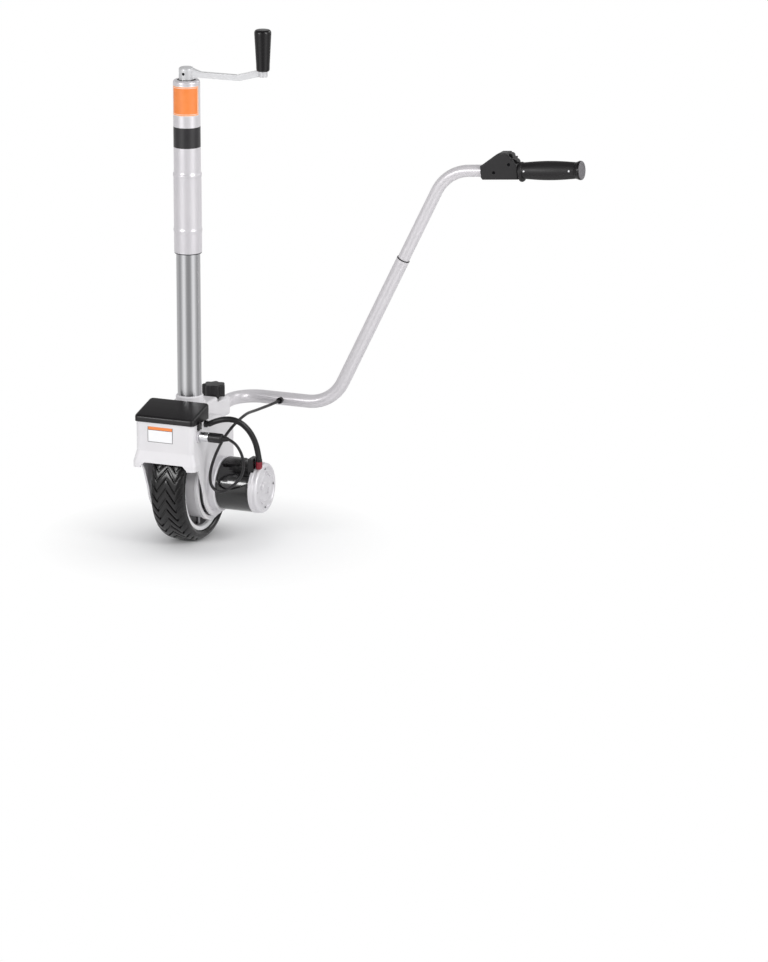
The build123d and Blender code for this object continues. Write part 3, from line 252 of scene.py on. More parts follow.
node_materials = {
    post_coat: ("outer_tube",),
    housing_coat: ("fork_housing", "steering_bridge", "foot_collar", "gear_drum"),
    barrel_shade_coat: ("wheel_rim",),
    motor_enamel: ("motor_can",),
    chrome: ("inner_tube", "plug_ring"),
    tube_zinc: ("lower_handle", "upper_handle"),
    crank_zinc: ("crank_arm",),
    # The roll pin's black is blackened steel and also painted shade for the dark pin hole in the crank hub
    black_oxide: ("roll_pin", "cover_screws"),
    steel: ("thrust_bearing", "lift_screw", "grip_spindle", "swivel_rings", "clamp_screw",
            "valve_stem", "wheel_hub", "wheel_bolts", "axle", "axle_bearings", "gear_carrier",
            "planet_gear_1", "planet_gear_2", "planet_gear_3", "motor_armature", "motor_shaft",
            "motor_bearings", "spring_button", "button_spring"),
    cast_aluminium: ("motor_flange", "motor_end_cap", "control_socket"),
    bronze: ("lift_nut",),
    # The guide bush is moulded black, and its black also gives the painted shadow under the post's lower edge
    black_abs: ("tube_cap", "guide_bush", "clamp_knob", "plug_body", "switch_front_shell",
                "switch_back_shell", "switch_block"),
    smooth_abs: ("lid_clips", "cable_gland", "motor_strap", "cable_grommet", "rocker_switch"),
    lid_abs: ("control_lid",),
    grip_rubber: ("crank_grip", "hand_grip", "grip_end"),
    power_jacket: ("power_cable",),
    control_jacket: ("control_cable",),
    red_rubber: ("terminal_boot",),
    tyre_rubber: ("tyre",),
    solder_mask: ("control_board",),
    ferrite: ("motor_magnets",),
    carbon: ("motor_brushes",),
}

for material, names in node_materials.items():
    for name in names:
        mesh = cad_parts[name].data
        mesh.materials.clear()
        mesh.materials.append(material)


def add_finish(node, material, chosen):
    """A second finish on the faces of a CAD piece whose centre, in metres, chosen accepts."""
    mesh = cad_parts[node].data
    mesh.materials.append(material)
    for face in mesh.polygons:
        if chosen(face.center):
            face.material_index = 1


# The screws of the motor's end cap are bright steel, and those of the switch housing, further out, are black
motor_reach = 0.3
add_finish("cover_screws", steel, lambda centre: centre.x < motor_reach)

# Above its red foot the boot is the cable's black sleeve
red_foot_top = -0.4835
add_finish("terminal_boot", smooth_abs, lambda centre: centre.z > red_foot_top)


# Cables, each a smooth line through its control points, which hang from the box to the motor and the handle
power_route = [
    (0.0650, -0.0570, -0.4070), (0.0775, -0.0570, -0.4005), (0.0930, -0.0555, -0.3955),
    (0.1105, -0.0510, -0.3945), (0.1270, -0.0450, -0.4020), (0.1395, -0.0380, -0.4175),
    (0.1470, -0.0310, -0.4370), (0.1500, -0.0250, -0.4570), (0.1505, -0.0200, -0.4760),
]
control_route = [
    (0.1180, -0.0860, -0.4240), (0.1280, -0.0850, -0.4285), (0.1370, -0.0830, -0.4390),
    (0.1430, -0.0800, -0.4540), (0.1450, -0.0770, -0.4720), (0.1410, -0.0740, -0.4910),
    (0.1300, -0.0710, -0.5070), (0.1155, -0.0680, -0.5205), (0.1000, -0.0660, -0.5315),
    (0.0865, -0.0640, -0.5345), (0.0745, -0.0630, -0.5285), (0.0690, -0.0630, -0.5160),
    (0.0695, -0.0630, -0.5000), (0.0730, -0.0620, -0.4830), (0.0790, -0.0600, -0.4650),
    (0.0865, -0.0570, -0.4470), (0.0945, -0.0510, -0.4300), (0.1025, -0.0390, -0.4150),
    (0.1085, -0.0200, -0.4050), (0.1085, 0.0050, -0.4020), (0.1040, 0.0330, -0.4040),
    (0.0975, 0.0640, -0.4095), (0.0920, 0.0990, -0.4155), (0.0890, 0.1380, -0.4200),
    (0.0885, 0.1750, -0.4235), (0.0910, 0.2103, -0.4240),
]
power_diameter = 11.0 * mm
control_diameter = 5.5 * mm


def make_cable(name, node, route, diameter, material):
    curve = bpy.data.curves.new(name, "CURVE")
    curve.dimensions = "3D"
    curve.bevel_depth = diameter / 2
    curve.bevel_resolution = 7
    curve.resolution_u = 16
    curve.use_fill_caps = True
    spline = curve.splines.new("NURBS")
    spline.points.add(len(route) - 1)
    for point, place in zip(spline.points, route):
        point.co = (*place, 1)
    spline.order_u = 3
    spline.use_endpoint_u = True
    curve.materials.append(material)
    piece = bpy.data.objects.new(name, curve)
    bpy.context.scene.collection.objects.link(piece)
    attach(piece, "fork")
    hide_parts(node)


make_cable("motor_power_cable", "power_cable", power_route, power_diameter, power_jacket)
make_cable("switch_control_cable", "control_cable", control_route, control_diameter,
           control_jacket)


# Printed films
def printed_film(name, dark, light):
    # Vinyl sticker under a clear laminate: flat even ink with a soft shine
    material, tree, shader, place = start_material(name, IOR=1.5, Coat_Weight=0.4, Coat_Roughness=0.12)
    surface_skin(tree, shader, place, dark, light, patch=14, grain=2.5, depth=0.01, gloss=(0.35, 0.45))
    return material


# The hand grip falls a little towards its end
grip_tilt = radians(4.85)


def striated_grip(name):
    # Soft grip rubber drawn with fine ribs along its length, dull black with paler streaks
    material, tree, shader, place = start_material(name, IOR=1.5)
    turned = put(tree, "ShaderNodeMapping", {"Vector": place, "Rotation": (0, grip_tilt, 0),
                                             "Scale": (0.05, 1.0, 1.0)})
    surface_skin(tree, shader, turned.outputs["Vector"], "141214", "201e20", patch=9, grain=1.6, depth=0.12,
                 gloss=(0.42, 0.54))
    return material


orange_film = printed_film("orange_label_film", "ec7f33", "f28c44")
pale_ink = printed_film("pale_label_ink", "f6dfc9", "fae8d8")
white_film = printed_film("white_label_film", "f0f0f2", "f6f6f7")
black_film = printed_film("black_label_film", "1d1b1e", "272528")
thin_ink = printed_film("dark_label_ink", "3a3234", "4a4042")
striated_rubber = striated_grip("striated_grip_rubber")
# The grip end's flat end face is drawn in a lighter grey than the rest of the grip end
pale_end_face_plastic = moulded_plastic("grey_grip_end_plastic", "605e61", "747275", gloss=(0.4, 0.5))
bright_zinc = zinc_satin("bright_zinc_screw", "dcdcdf", "efeff0", gloss=(0.18, 0.28))


# Mesh helpers. Each piece is shaped in millimetres, in the part's own frame, and scaled to metres at the end.
def finish_mesh(name, bm, materials, body, nodes=()):
    bmesh.ops.scale(bm, vec=(mm, mm, mm), verts=bm.verts)
    mesh = bpy.data.meshes.new(name)
    bm.to_mesh(mesh)
    bm.free()
    for material in materials:
        mesh.materials.append(material)
    mesh.shade_smooth()
    mesh.set_sharp_from_angle(angle=radians(32))
    piece = bpy.data.objects.new(name, mesh)
    bpy.context.scene.collection.objects.link(piece)
    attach(piece, body)
    if nodes:
        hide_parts(*nodes)


def close_shape(bm):
    """Joins points that meet, drops loose edges and turns the faces outwards."""
    bmesh.ops.remove_doubles(bm, verts=bm.verts, dist=0.004)
    bmesh.ops.delete(bm, geom=[edge for edge in bm.edges if edge.is_wire], context="EDGES")
    bmesh.ops.recalc_face_normals(bm, faces=bm.faces)


def outline_face(bm, corners, place):
    """A face from corners of (across, along, rounding) in mm; place turns across and along into a point."""
    points = [bm.verts.new(place(across, along)) for across, along, rounding in corners]
    bm.faces.new(points)
    for point, (across, along, rounding) in zip(points, corners):
        if rounding:
            bmesh.ops.bevel(bm, geom=[point], offset=rounding, affect="VERTICES", segments=4, profile=0.5,
                            material=-1)


def spun(corners, axis, centre, steps=128):
    """A solid of revolution from corners of (distance from the axis, place along it, rounding) in mm."""
    bm = bmesh.new()
    axis = Vector(axis)
    side = Vector((0, 0, 1)) if abs(axis.z) < 0.5 else Vector((1, 0, 0))
    side = (side - axis * side.dot(axis)).normalized()
    outline_face(bm, corners, lambda out, along: Vector(centre) + axis * along + side * out)
    bmesh.ops.delete(bm, geom=bm.faces[:], context="FACES_ONLY")
    bmesh.ops.spin(bm, geom=bm.verts[:] + bm.edges[:], cent=centre, axis=axis, angle=2 * pi, steps=steps,
                   use_merge=True)
    close_shape(bm)
    return bm


def plate(corners, place, depth):
    """A flat outline of such corners, pushed out along depth, a vector in mm."""
    bm = bmesh.new()
    outline_face(bm, corners, place)
    pushed = bmesh.ops.extrude_face_region(bm, geom=bm.faces[:])
    moved = [item for item in pushed["geom"] if isinstance(item, bmesh.types.BMVert)]
    bmesh.ops.translate(bm, verts=moved, vec=depth)
    close_shape(bm)
    return bm


def merge(bm, other):
    """Moves the shape other into bm."""
    mesh = bpy.data.meshes.new("joined")
    other.to_mesh(mesh)
    other.free()
    bm.from_mesh(mesh)
    bpy.data.meshes.remove(mesh)


def paint(bm, number, chosen):
    """Gives the faces that chosen accepts the piece's material of that number."""
    for face in bm.faces:
        if chosen(face):
            face.material_index = number


up = (0, 0, 1)
along_axle = (1, 0, 0)
axle_centre = (0, 0, axle_z / mm)


# Jack post with its two rolled beads, its cap and two blank labels
post_low, post_high = -95.0, 224.0
post_bore = 23.6
post_radius = 25.2
band_radius = 26.0
bead_heights = (-52.5, 52.6)
bead_rise = 1.0
bead_reach = 5.0
cap_height = 7.0
cap_depth = 12.0
cap_bore = 8.4
cap_dish_radius = 17.4
film_thickness = 0.12
film_seat_radius = post_radius + 0.03


def make_post():
    corners = [(post_bore, post_low, 0), (band_radius, post_low, 0.5)]
    for height, above in zip(bead_heights, (band_radius, post_radius)):
        corners += [(band_radius, height - bead_reach, 1.8), (band_radius + bead_rise, height - 1.0, 2.2),
                    (band_radius + bead_rise, height + 1.0, 2.2), (above, height + bead_reach, 1.8)]
    corners += [(post_radius, post_high, 0.3), (post_bore, post_high, 0)]
    bm = spun(corners, up, (0, 0, 0))
    finish_mesh("post_tube", bm, [post_coat], "post", ["outer_tube"])


def make_post_cap():
    top, low, plug = post_high + cap_height, post_high - cap_depth, post_bore - 0.02
    corners = [(cap_bore, low, 0), (plug, low, 0), (plug, post_high, 0), (post_radius, post_high, 0.3),
               (post_radius, top - 2.4, 2.2), (22.6, top, 1.6), (cap_dish_radius, top, 0.3),
               (cap_dish_radius, top - 1.0, 0), (cap_bore, top - 1.0, 0)]
    bm = spun(corners, up, (0, 0, 0))
    # The dish round the crank hub is painted black: a painted shadow for the dark gap at the hub's base
    paint(bm, 1, lambda face: face.calc_center_median().xy.length < cap_dish_radius + 0.1)
    finish_mesh("post_cap", bm, [post_coat, black_abs], "post", ["tube_cap"])


def label_patch(low, high, start, end, frame_widths=()):
    """A thin film wrapped on the post from azimuth start to end, in degrees.

    Its border lines have the given widths, outermost first, and take the materials from number 1.
    """
    bm = bmesh.new()
    radius = film_seat_radius
    marks = [0.0]
    for width in frame_widths:
        marks.append(marks[-1] + width)
    heights = [low + mark for mark in marks] + [high - mark for mark in reversed(marks)]
    across, sweep = radians(start), radians(end - start)
    points = [bm.verts.new((radius * cos(across), radius * sin(across), height)) for height in heights]
    last = points + [bm.edges.new(pair) for pair in zip(points, points[1:])]
    narrow = [width / radius for width in frame_widths]
    turns = [(turn, 1) for turn in narrow]
    for turn, steps in turns + [(sweep - 2 * sum(narrow), 40)] + turns[::-1]:
        last = bmesh.ops.spin(bm, geom=last, cent=(0, 0, 0), axis=up, angle=turn, steps=steps)["geom_last"]
    bmesh.ops.remove_doubles(bm, verts=bm.verts, dist=0.001)
    for face in bm.faces:
        centre = face.calc_center_median()
        turned = (atan2(centre.y, centre.x) - across) % (2 * pi)
        inside = min(centre.z - low, high - centre.z, turned * radius, (sweep - turned) * radius)
        borders = [number for number, mark in enumerate(marks[1:], start=1) if inside < mark]
        face.material_index = borders[0] if borders else 0
    bmesh.ops.recalc_face_normals(bm, faces=bm.faces)
    outward = bm.faces[:][0]
    if outward.normal.dot(outward.calc_center_median() * Vector((1, 1, 0))) < 0:
        bmesh.ops.reverse_faces(bm, faces=bm.faces)
    bmesh.ops.solidify(bm, geom=bm.faces[:], thickness=-film_thickness)
    bmesh.ops.recalc_face_normals(bm, faces=bm.faces)
    return bm


def make_post_labels():
    # Azimuths count from +X; the photograph looks at the tube from about 293 degrees
    orange = label_patch(low=166.0, high=221.5, start=216, end=354, frame_widths=(1.0, 1.6, 0.9))
    finish_mesh("orange_post_label", orange, [orange_film, pale_ink, orange_film, pale_ink], "post")
    black = label_patch(low=105.0, high=143.5, start=196, end=390)
    finish_mesh("black_post_band", black, [black_film], "post")


make_post()
make_post_cap()
make_post_labels()


# Crank grip, moulded with shallow finger ridges
crank_reach = 154.7
crank_grip_low, crank_grip_high = 258.2, 335.2
spindle_bore = 5.06
ridge_count = 9
ridge_pitch = 6.2


def make_crank_grip():
    low, high, inside = crank_grip_low, crank_grip_high, crank_grip_high - 6.3
    corners = [(spindle_bore, low, 0), (11.2, low, 0.8), (12.4, low + 3, 1.5)]
    for step in range(ridge_count):
        height = low + 14 + step * ridge_pitch
        radius = 12.5 + 3.0 * (step + 0.5) / ridge_count
        corners += [(radius, height, 1.0), (radius + 0.3, height + ridge_pitch / 2, 1.0)]
    corners += [(15.8, high - 3, 2.4), (12.6, high, 1.6), (0, high, 0), (0, inside, 0),
                (spindle_bore, inside, 0)]
    bm = spun(corners, up, (crank_reach, 0, 0), steps=72)
    finish_mesh("crank_hand_knob", bm, [grip_rubber], "crank_grip", ["crank_grip"])


make_crank_grip()


# Wheel. Profiles are (radius, place along the axle, rounding), and a lug runs from one shoulder to the other.
tyre_profile = [
    (88.1, -27, 0), (94.2, -27, 0), (94.6, -31, 1.5), (99, -34.6, 2), (104.5, -34.6, 3), (108, -30.5, 3),
    (109.2, -20, 3), (109.6, 0, 3), (109.2, 20, 3), (108, 30.5, 3), (104.5, 34.6, 3), (99, 34.6, 2),
    (94.6, 31, 1.5), (94.2, 27, 0), (88.1, 27, 0), (87.2, 19, 0), (100, 22, 3), (102, 0, 3), (100, -22, 3),
    (87.2, -19, 0),
]
lug_count = 36
lug_reach = 33.0
lug_turn = 18.0
lug_slope = 1.45
lug_width = 14.6
lug_depth = 4.6
tread_middle_radius = 113.0
tread_flat = 19.0


def tread_radius(x):
    """Outer surface of the lugs: nearly flat across the middle and rolled over at the shoulders."""
    out = max(0.0, abs(x) - tread_flat)
    return tread_middle_radius - abs(x) * 0.022 - out * out * 0.032


def tread_offset(x):
    """How far a lug lies round the tyre at x: down from the middle, then up again to the shoulder."""
    reach = abs(x)
    return -lug_slope * min(reach, lug_turn) + lug_slope * max(0.0, reach - lug_turn)


def make_lugs():
    """One lug bent over the tread, with its outer edges rounded, then repeated round the wheel."""
    bm = bmesh.new()
    bmesh.ops.create_grid(bm, x_segments=22, y_segments=2, size=1.0)
    pushed = bmesh.ops.extrude_face_region(bm, geom=bm.faces[:])
    top = {item for item in pushed["geom"] if isinstance(item, bmesh.types.BMVert)}
    top_edges = [edge for edge in bm.edges if all(point in top for point in edge.verts)
                 and not all(all(point in top for point in face.verts) for face in edge.link_faces)]
    for point in bm.verts:
        x = point.co.x * lug_reach
        angle = (point.co.y * lug_width / 2 + tread_offset(x)) / tread_middle_radius
        radius = tread_radius(x) - (0.0 if point in top else lug_depth)
        point.co = (x, -radius * cos(angle), axle_z / mm + radius * sin(angle))
    bmesh.ops.recalc_face_normals(bm, faces=bm.faces)
    bmesh.ops.bevel(bm, geom=top_edges, offset=0.7, affect="EDGES", segments=2, profile=0.5, material=-1,
                    clamp_overlap=True)
    turn = 2 * pi / lug_count
    bmesh.ops.spin(bm, geom=bm.verts[:] + bm.edges[:] + bm.faces[:], cent=axle_centre, axis=along_axle,
                   angle=turn * (lug_count - 1), steps=lug_count - 1, use_duplicate=True)
    return bm


def make_tyre():
    bm = spun(tyre_profile, along_axle, axle_centre, steps=160)
    # A raised line runs round each sidewall
    for side in (-1, 1):
        foot, crest = side * 33.6, side * 35.0
        ring = spun([(97.0, foot, 0), (99.4, crest, 0.5), (101.6, crest, 0.5), (104.0, foot, 0)],
                    along_axle, axle_centre, steps=160)
        merge(bm, ring)
    merge(bm, make_lugs())
    finish_mesh("ribbed_tyre", bm, [tyre_rubber], "wheel", ["tyre"])


rim_half_width = 30.0
rim_lip_radius = 93.0
rim_seat_radius = 88.0
rim_bore = 85.0
rim_well_radius = 82.6
disc_inner_radius = 24.02
disc_outer_radius = 70.0


def make_rim():
    lip, edge, seat, bore, well = rim_half_width, rim_lip_radius, rim_seat_radius, rim_bore, rim_well_radius
    corners = [(bore, -lip + 1.5, 1), (bore + 2.5, -lip, 1), (edge, -lip, 1.2), (edge, -lip + 3, 1.2),
               (seat, -lip + 3.2, 0.5), (seat, lip - 3.2, 0.5), (edge, lip - 3, 1.2), (edge, lip, 1.2),
               (bore + 2.5, lip, 1), (bore, lip - 1.5, 1), (well, 18, 6), (well, 8, 3),
               (disc_outer_radius, 3, 3), (disc_inner_radius, 3, 0.3), (disc_inner_radius, -1, 0.3),
               (disc_outer_radius, -1, 3), (well, -6, 3), (well, -18, 6)]
    bm = spun(corners, along_axle, axle_centre, steps=160)
    # The lips take the white enamel, and the barrel and disc between them the darker grey of painted shade
    paint(bm, 1, lambda face: abs(face.calc_center_median().x) > lip - 4.5)
    finish_mesh("deep_wheel_rim", bm, [barrel_shade_coat, lip_coat], "wheel", ["wheel_rim"])


make_tyre()
make_rim()


# Control box, with a lid that rises to the back and a blank label under it
lid_left, lid_right = -63.0, 59.0
lid_front, lid_back = -113.5, -38.0
lid_low, lid_front_top, lid_back_top = -400.0, -388.5, -371.0
lid_corner_rounding = 8.0
lid_top_rounding = 4.6
lid_wall = 2.4
label_face = -112.05
label_left, label_right = -34.2, 15.0
label_low, label_high = -436.4, -407.8
label_strip_height = 6.0
label_line = 0.9
label_line_rise = 0.2


def make_lid():
    low, front, back = lid_low, lid_front, lid_back
    bm = plate([(front, low, 0), (back, low, 0), (back, lid_back_top, 0), (front, lid_front_top, 0)],
               lambda y, z: Vector((lid_left, y, z)), (lid_right - lid_left, 0, 0))
    # The upright corners are rounded first, then the rim of the sloping top
    uprights = [edge for edge in bm.edges if abs((edge.verts[0].co - edge.verts[1].co).normalized().z) > 0.9]
    bmesh.ops.bevel(bm, geom=uprights, offset=lid_corner_rounding, affect="EDGES", segments=8, profile=0.5,
                    material=-1)
    top = max(bm.faces, key=lambda face: face.calc_center_median().z)
    bmesh.ops.bevel(bm, geom=list(top.edges), offset=lid_top_rounding, affect="EDGES", segments=5,
                    profile=0.5, material=-1)
    floor = min(bm.faces, key=lambda face: face.calc_center_median().z)
    bmesh.ops.delete(bm, geom=[floor], context="FACES_ONLY")
    bmesh.ops.recalc_face_normals(bm, faces=bm.faces)
    bmesh.ops.solidify(bm, geom=bm.faces[:], thickness=lid_wall)
    bmesh.ops.recalc_face_normals(bm, faces=bm.faces)
    finish_mesh("control_box_lid", bm, [lid_abs], "fork", ["control_lid"])


def label_panel(left, right, low, high, thickness):
    """A flat film on the front of the control box."""
    return plate([(left, low, 0), (right, low, 0), (right, high, 0), (left, high, 0)],
                 lambda x, z: Vector((x, label_face, z)), (0, -thickness, 0))


def make_box_label():
    left, right, low, high = label_left, label_right, label_low, label_high
    strip, outer_low = high - label_strip_height, low - label_line
    for name, bottom, top, film in (("box_label_panel", low, strip, white_film),
                                    ("box_label_strip", strip, high, orange_film)):
        bm = label_panel(left, right, bottom, top, film_thickness)
        finish_mesh(name, bm, [film], "fork")
    bm = bmesh.new()
    for line in ((left - label_line, left, outer_low, high), (right, right + label_line, outer_low, high),
                 (left, right, outer_low, low), (left, right, strip - 0.5, strip + 0.3)):
        merge(bm, label_panel(*line, label_line_rise))
    finish_mesh("box_label_frame", bm, [thin_ink], "fork")


make_lid()
make_box_label()


# Motor, whose can and end cap meet at the joint
can_start, motor_joint = 72.02, 138.5
can_radius = 47.5
can_bore = 44.5
cap_face = 153.4
rib_rise = 2.75
rib_sweep = radians(46)
cap_ribs = ((40, 17.5), (220, 13.5), (130, 27.5), (310, 27.5))


def curved_rib(start, radius):
    """A short raised arc on the end cap's face, from the angle start and outwards from the given radius."""
    bm = bmesh.new()
    corners = [(0, 0, 0), (3.0, 0, 0), (2.6, rib_rise, 0.2), (0.4, rib_rise, 0.2)]
    foot = Vector(axle_centre) + Vector((cap_face - 0.2, 0, radius))
    outline_face(bm, corners, lambda out, rise: foot + Vector((rise, 0, out)))
    bmesh.ops.delete(bm, geom=bm.faces[:], context="FACES_ONLY")
    bmesh.ops.rotate(bm, verts=bm.verts, cent=axle_centre, matrix=Matrix.Rotation(radians(start), 3, "X"))
    bmesh.ops.spin(bm, geom=bm.verts[:] + bm.edges[:], cent=axle_centre, axis=along_axle, angle=rib_sweep,
                   steps=16)
    bmesh.ops.holes_fill(bm, edges=[edge for edge in bm.edges if edge.is_boundary], sides=0)
    close_shape(bm)
    return bm


def make_end_cap():
    joint = motor_joint + 0.02
    corners = [(48.5, joint, 0.6), (48.5, 144.6, 1.2), (46.9, 145.8, 0.8), (46.9, 149.6, 0.5),
               (47.4, 150.2, 0.4), (47.4, 152.2, 1.0), (44.4, 155.6, 1.6), (41.4, 156.0, 0.8),
               (39.6, 156.0, 0.6), (38.0, cap_face, 1.0), (25.6, cap_face, 0.6), (24.6, cap_face + 1.0, 0.5),
               (23.6, cap_face, 0.6), (11.2, cap_face, 0.8), (9.8, 155.9, 0.8), (0, 155.9, 0), (0, 149, 0),
               (14.02, 149, 0), (14.02, 140, 0), (43, 140, 0), (43, joint, 0)]
    bm = spun(corners, along_axle, axle_centre, steps=144)
    for start, radius in cap_ribs:
        merge(bm, curved_rib(start, radius))
    finish_mesh("motor_back_cap", bm, [cast_aluminium], "fork", ["motor_end_cap"])


def make_motor_can():
    corners = [(can_radius, can_start, 0.3)]
    for groove in (75.6, 135.2):
        corners += [(can_radius, groove - 0.6, 0.3), (can_radius - 0.4, groove, 0.3),
                    (can_radius, groove + 0.6, 0.3)]
    corners += [(can_radius, motor_joint, 0.3), (can_bore, motor_joint, 0), (can_bore, can_start, 0)]
    bm = spun(corners, along_axle, axle_centre, steps=144)
    finish_mesh("black_motor_can", bm, [motor_enamel], "fork", ["motor_can"])


make_end_cap()
make_motor_can()


# Steering grip, drawn along its own axis from the handle's upper bend and seated on the upper tube
grip_corner = Vector((426.32, 230.0, 48.09))
grip_start, grip_neck, grip_end = 147.02, 155.0, 258.0
tube_seat = 11.42
grip_neck_radius = 15.4
grip_swell = 2.6
grip_flange_radius = 18.0
collar_radius = 18.8
collar_drop = 2.3
screw_places = (160.0, 249.5)


def put_on_grip(bm):
    """Turns and moves a shape drawn along X from the origin to the grip's own axis."""
    bmesh.ops.rotate(bm, verts=bm.verts, cent=(0, 0, 0), matrix=Matrix.Rotation(-grip_tilt, 3, "Y"))
    bmesh.ops.translate(bm, verts=bm.verts, vec=grip_corner)
    return bm


def grip_radius(along):
    """The grip swells evenly from its neck to its middle and back."""
    return grip_neck_radius + grip_swell * sin(pi * (along - grip_neck) / (grip_end - grip_neck))


def make_hand_grip():
    corners = [(tube_seat, grip_start, 0), (grip_neck_radius, grip_start, 0.5),
               (grip_neck_radius, grip_neck, 0.5)]
    steps = 9
    for step in range(1, steps):
        along = grip_neck + (grip_end - grip_neck) * step / steps
        corners.append((grip_radius(along), along, 5.0))
    corners += [(grip_neck_radius, grip_end, 0.4), (tube_seat, grip_end, 0)]
    bm = spun(corners, along_axle, (0, 0, 0), steps=96)
    near, far, edge = collar_radius - 2.0, collar_radius, 2.5
    collar = spun([(0, grip_start, 0), (near, grip_start, 2.4), (far, grip_start + edge, 2.0),
                   (far, grip_neck - edge, 2.0), (near, grip_neck, 2.4), (0, grip_neck, 0)], along_axle,
                  (0, 0, -collar_drop), steps=96)
    merge(bm, collar)
    finish_mesh("ribbed_hand_grip", put_on_grip(bm), [striated_rubber], "fork", ["hand_grip"])


def make_grip_end():
    start, dish, inside = grip_end + 0.02, grip_end + 11.4, grip_end + 6.6
    flange = grip_flange_radius
    bm = spun([(tube_seat, start, 0), (grip_neck_radius, start, 0.8), (16.6, grip_end + 4.5, 2),
               (flange, grip_end + 7.5, 1.2), (flange, grip_end + 11, 1.2), (16.4, grip_end + 12.8, 0.8),
               (13.6, grip_end + 12.4, 0.6), (12.6, dish, 0.5), (0, dish, 0), (0, inside, 0),
               (tube_seat, inside, 0)], along_axle, (0, 0, 0), steps=96)
    paint(bm, 1, lambda face: face.normal.x > 0.55 and face.calc_center_median().x > dish - 0.2)
    finish_mesh("flanged_grip_end", put_on_grip(bm), [grip_rubber, pale_end_face_plastic], "fork",
                ["grip_end"])


def make_grip_screws():
    bm = bmesh.new()
    for along in screw_places:
        screw = spun([(0, 1.2, 0), (1.0, 1.2, 0.2), (1.3, 0.7, 0.1), (1.9, 0.3, 0.3), (1.9, -1.0, 0),
                      (0, -1.0, 0)], (0, -1, 0), (along, -grip_radius(along), 1.5), steps=24)
        merge(bm, screw)
    finish_mesh("grip_fixing_screws", put_on_grip(bm), [bright_zinc], "fork")


make_hand_grip()
make_grip_end()
make_grip_screws()


# Dark wiper ring in the mouth of the lower handle tube, where the upper tube goes in; its black is also a
# painted shadow for the dark line at the seam
handle_rise = radians(63.7)
handle_lower_bend = Vector((193.0, 230.0, -424.0))
seam_distance = 329.0


def make_seam_ring():
    along_rise = Vector((cos(handle_rise), 0, sin(handle_rise)))
    ring = spun([(tube_seat, 0.02, 0), (12.6, 0.02, 0.2), (12.6, 1.6, 0.6), (tube_seat, 2.2, 0.3)],
                along_rise, handle_lower_bend + along_rise * seam_distance, steps=96)
    finish_mesh("handle_wiper_shadow_ring", ring, [smooth_abs], "fork")


make_seam_ring()


# Floor, lights and background
camera_side = (0.418, -0.908, 0)
paper_radius = 14.0
paper_centre = (0.3, 2.0, floor_z)


def screens(tree, direction):
    """What shiny metal mirrors, as a brightness for a direction from the object.

    Two bright screens stand in front, to the left and right, with grey drapes between, beside and behind.
    """
    flat = put(tree, "ShaderNodeVectorMath", {0: direction, 1: (1, 1, 0)}, operation="MULTIPLY")
    level = put(tree, "ShaderNodeVectorMath", {0: flat.outputs[0]}, operation="NORMALIZE")
    ahead = put(tree, "ShaderNodeVectorMath", {0: level.outputs[0], 1: camera_side}, operation="DOT_PRODUCT")
    position = put(tree, "ShaderNodeMapRange", {"Value": ahead.outputs["Value"], "From Min": -1.0,
                                                "From Max": 1.0})
    drapes = put(tree, "ShaderNodeValToRGB", {0: position.outputs[0]})
    stops = drapes.color_ramp.elements
    stops[0].position, stops[0].color = 0.0, (0.62, 0.62, 0.62, 1)
    stops[1].position, stops[1].color = 1.0, (0.34, 0.34, 0.34, 1)
    for place, grey in ((0.3, 0.5), (0.5, 0.36), (0.66, 0.55), (0.8, 0.98), (0.9, 0.95), (0.975, 0.4)):
        stop = stops.new(place)
        stop.color = (grey, grey, grey, 1)
    return drapes.outputs["Color"]


def make_floor():
    bm = bmesh.new()
    bmesh.ops.create_circle(bm, cap_ends=True, segments=96, radius=paper_radius)
    mesh = bpy.data.meshes.new("studio_floor")
    bmesh.ops.translate(bm, verts=bm.verts, vec=paper_centre)
    bm.to_mesh(mesh)
    bm.free()
    floor = bpy.data.objects.new("studio_floor", mesh)
    bpy.context.scene.collection.objects.link(floor)
    mesh.materials.append(floor_paper())


def floor_paper():
    # Matt white background paper, which fades to plain white away from the object
    material = bpy.data.materials.new("white_background_paper")
    material.use_nodes = True
    tree = material.node_tree
    tree.nodes.clear()
    paper = put(tree, "ShaderNodeBsdfDiffuse", {"Color": linear("f8f8f8")})
    white = put(tree, "ShaderNodeEmission", {"Color": (1, 1, 1, 1), "Strength": 1.0})
    place = put(tree, "ShaderNodeTexCoord").outputs["Object"]
    mirrored = put(tree, "ShaderNodeEmission", {"Color": (1, 1, 1, 1), "Strength": screens(tree, place)})
    centred = put(tree, "ShaderNodeMapping", {"Vector": place, "Location": (-0.05, 0.0, -floor_z)})
    distance = put(tree, "ShaderNodeVectorMath", {0: centred.outputs[0]}, operation="LENGTH")
    far = put(tree, "ShaderNodeMapRange", {"Value": distance.outputs["Value"], "From Min": 0.1,
                                           "From Max": 0.34})
    rays = put(tree, "ShaderNodeLightPath")
    seen = put(tree, "ShaderNodeMath", {0: rays.outputs["Is Camera Ray"], 1: rays.outputs["Is Glossy Ray"]},
               operation="MAXIMUM")
    share = put(tree, "ShaderNodeMath", {0: seen.outputs[0], 1: far.outputs[0]}, operation="MULTIPLY")
    lit = put(tree, "ShaderNodeMixShader", {0: rays.outputs["Is Glossy Ray"], 1: white.outputs[0],
                                            2: mirrored.outputs[0]})
    mix = put(tree, "ShaderNodeMixShader", {0: share.outputs[0], 1: paper.outputs[0], 2: lit.outputs[0]})
    put(tree, "ShaderNodeOutputMaterial", {"Surface": mix.outputs[0]})
    return material


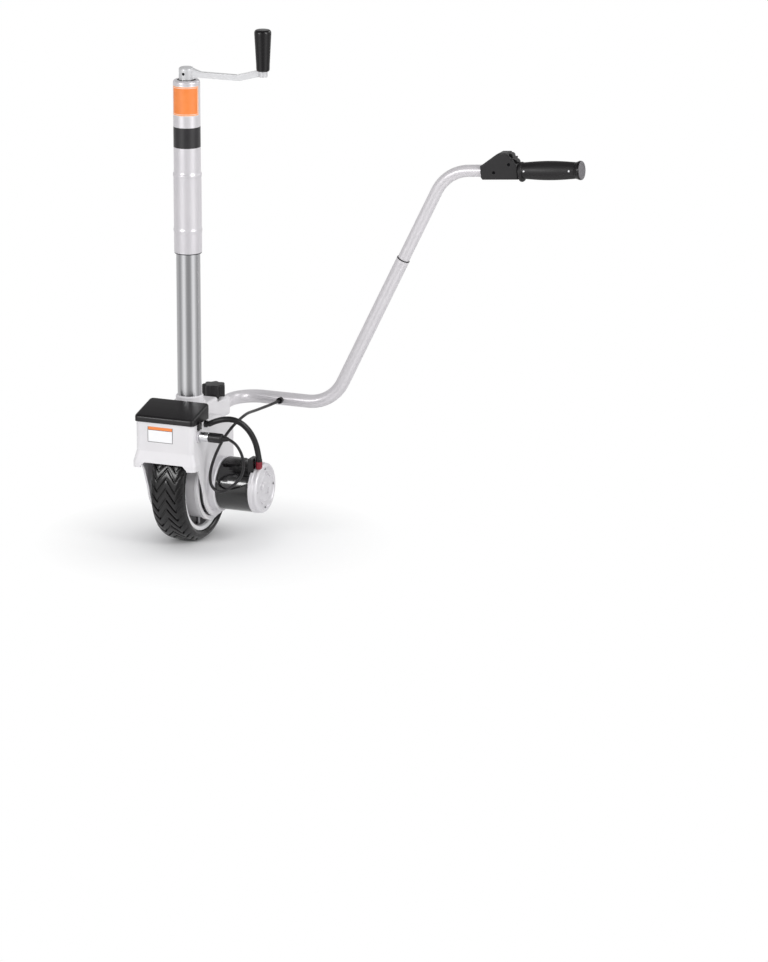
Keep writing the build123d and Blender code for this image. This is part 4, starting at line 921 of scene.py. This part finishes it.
def make_world():
    world = bpy.data.worlds.new("white_studio")
    bpy.context.scene.world = world
    world.use_nodes = True
    tree = world.node_tree
    tree.nodes.clear()
    rays = put(tree, "ShaderNodeLightPath")
    direction = put(tree, "ShaderNodeTexCoord").outputs["Generated"]
    height = put(tree, "ShaderNodeSeparateXYZ", {0: direction}).outputs["Z"]
    ceiling = put(tree, "ShaderNodeMapRange", {"Value": height, "From Min": 0.2, "From Max": 0.7,
                                               "To Min": 1.0, "To Max": 0.3})
    strength = put(tree, "ShaderNodeMath", {0: screens(tree, direction), 1: ceiling.outputs[0]},
                   operation="MULTIPLY")
    glossy = put(tree, "ShaderNodeBackground", {"Color": (1, 1, 1, 1), "Strength": strength.outputs[0]})
    ambient = put(tree, "ShaderNodeBackground", {"Color": (0.98, 0.985, 1.0, 1), "Strength": 0.66})
    white = put(tree, "ShaderNodeBackground", {"Color": (1, 1, 1, 1), "Strength": 1.0})
    shiny = put(tree, "ShaderNodeMath", {0: rays.outputs["Is Glossy Ray"],
                                         1: rays.outputs["Is Transmission Ray"]}, operation="MAXIMUM")
    soft = put(tree, "ShaderNodeMixShader", {0: shiny.outputs[0], 1: ambient.outputs[0],
                                             2: glossy.outputs[0]})
    seen = put(tree, "ShaderNodeMixShader", {0: rays.outputs["Is Camera Ray"], 1: soft.outputs[0],
                                             2: white.outputs[0]})
    put(tree, "ShaderNodeOutputWorld", {"Surface": seen.outputs[0]})


def make_lamp(name, place, target, width, height, power):
    """An area lamp; place, target, width and height are metres, and power is watts."""
    data = bpy.data.lights.new(name, "AREA")
    data.shape = "RECTANGLE"
    data.size = width
    data.size_y = height
    data.energy = power
    lamp = bpy.data.objects.new(name, data)
    lamp.location = place
    lamp.rotation_euler = (Vector(target) - Vector(place)).to_track_quat("-Z", "Y").to_euler()
    bpy.context.scene.collection.objects.link(lamp)


make_floor()
make_world()
make_lamp("left_softbox", (-1.45, -3.55, 1.05), (0.05, 0, -0.35), 1.5, 0.75, 46.0)
make_lamp("right_softbox", (3.6, -1.2, 1.5), (0.1, 0, -0.2), 1.4, 2.0, 60.0)
make_lamp("back_softbox", (2.6, 2.8, 2.2), (0.1, 0, -0.1), 1.8, 1.2, 26.0)

scene = bpy.context.scene
scene.view_settings.view_transform = "Standard"
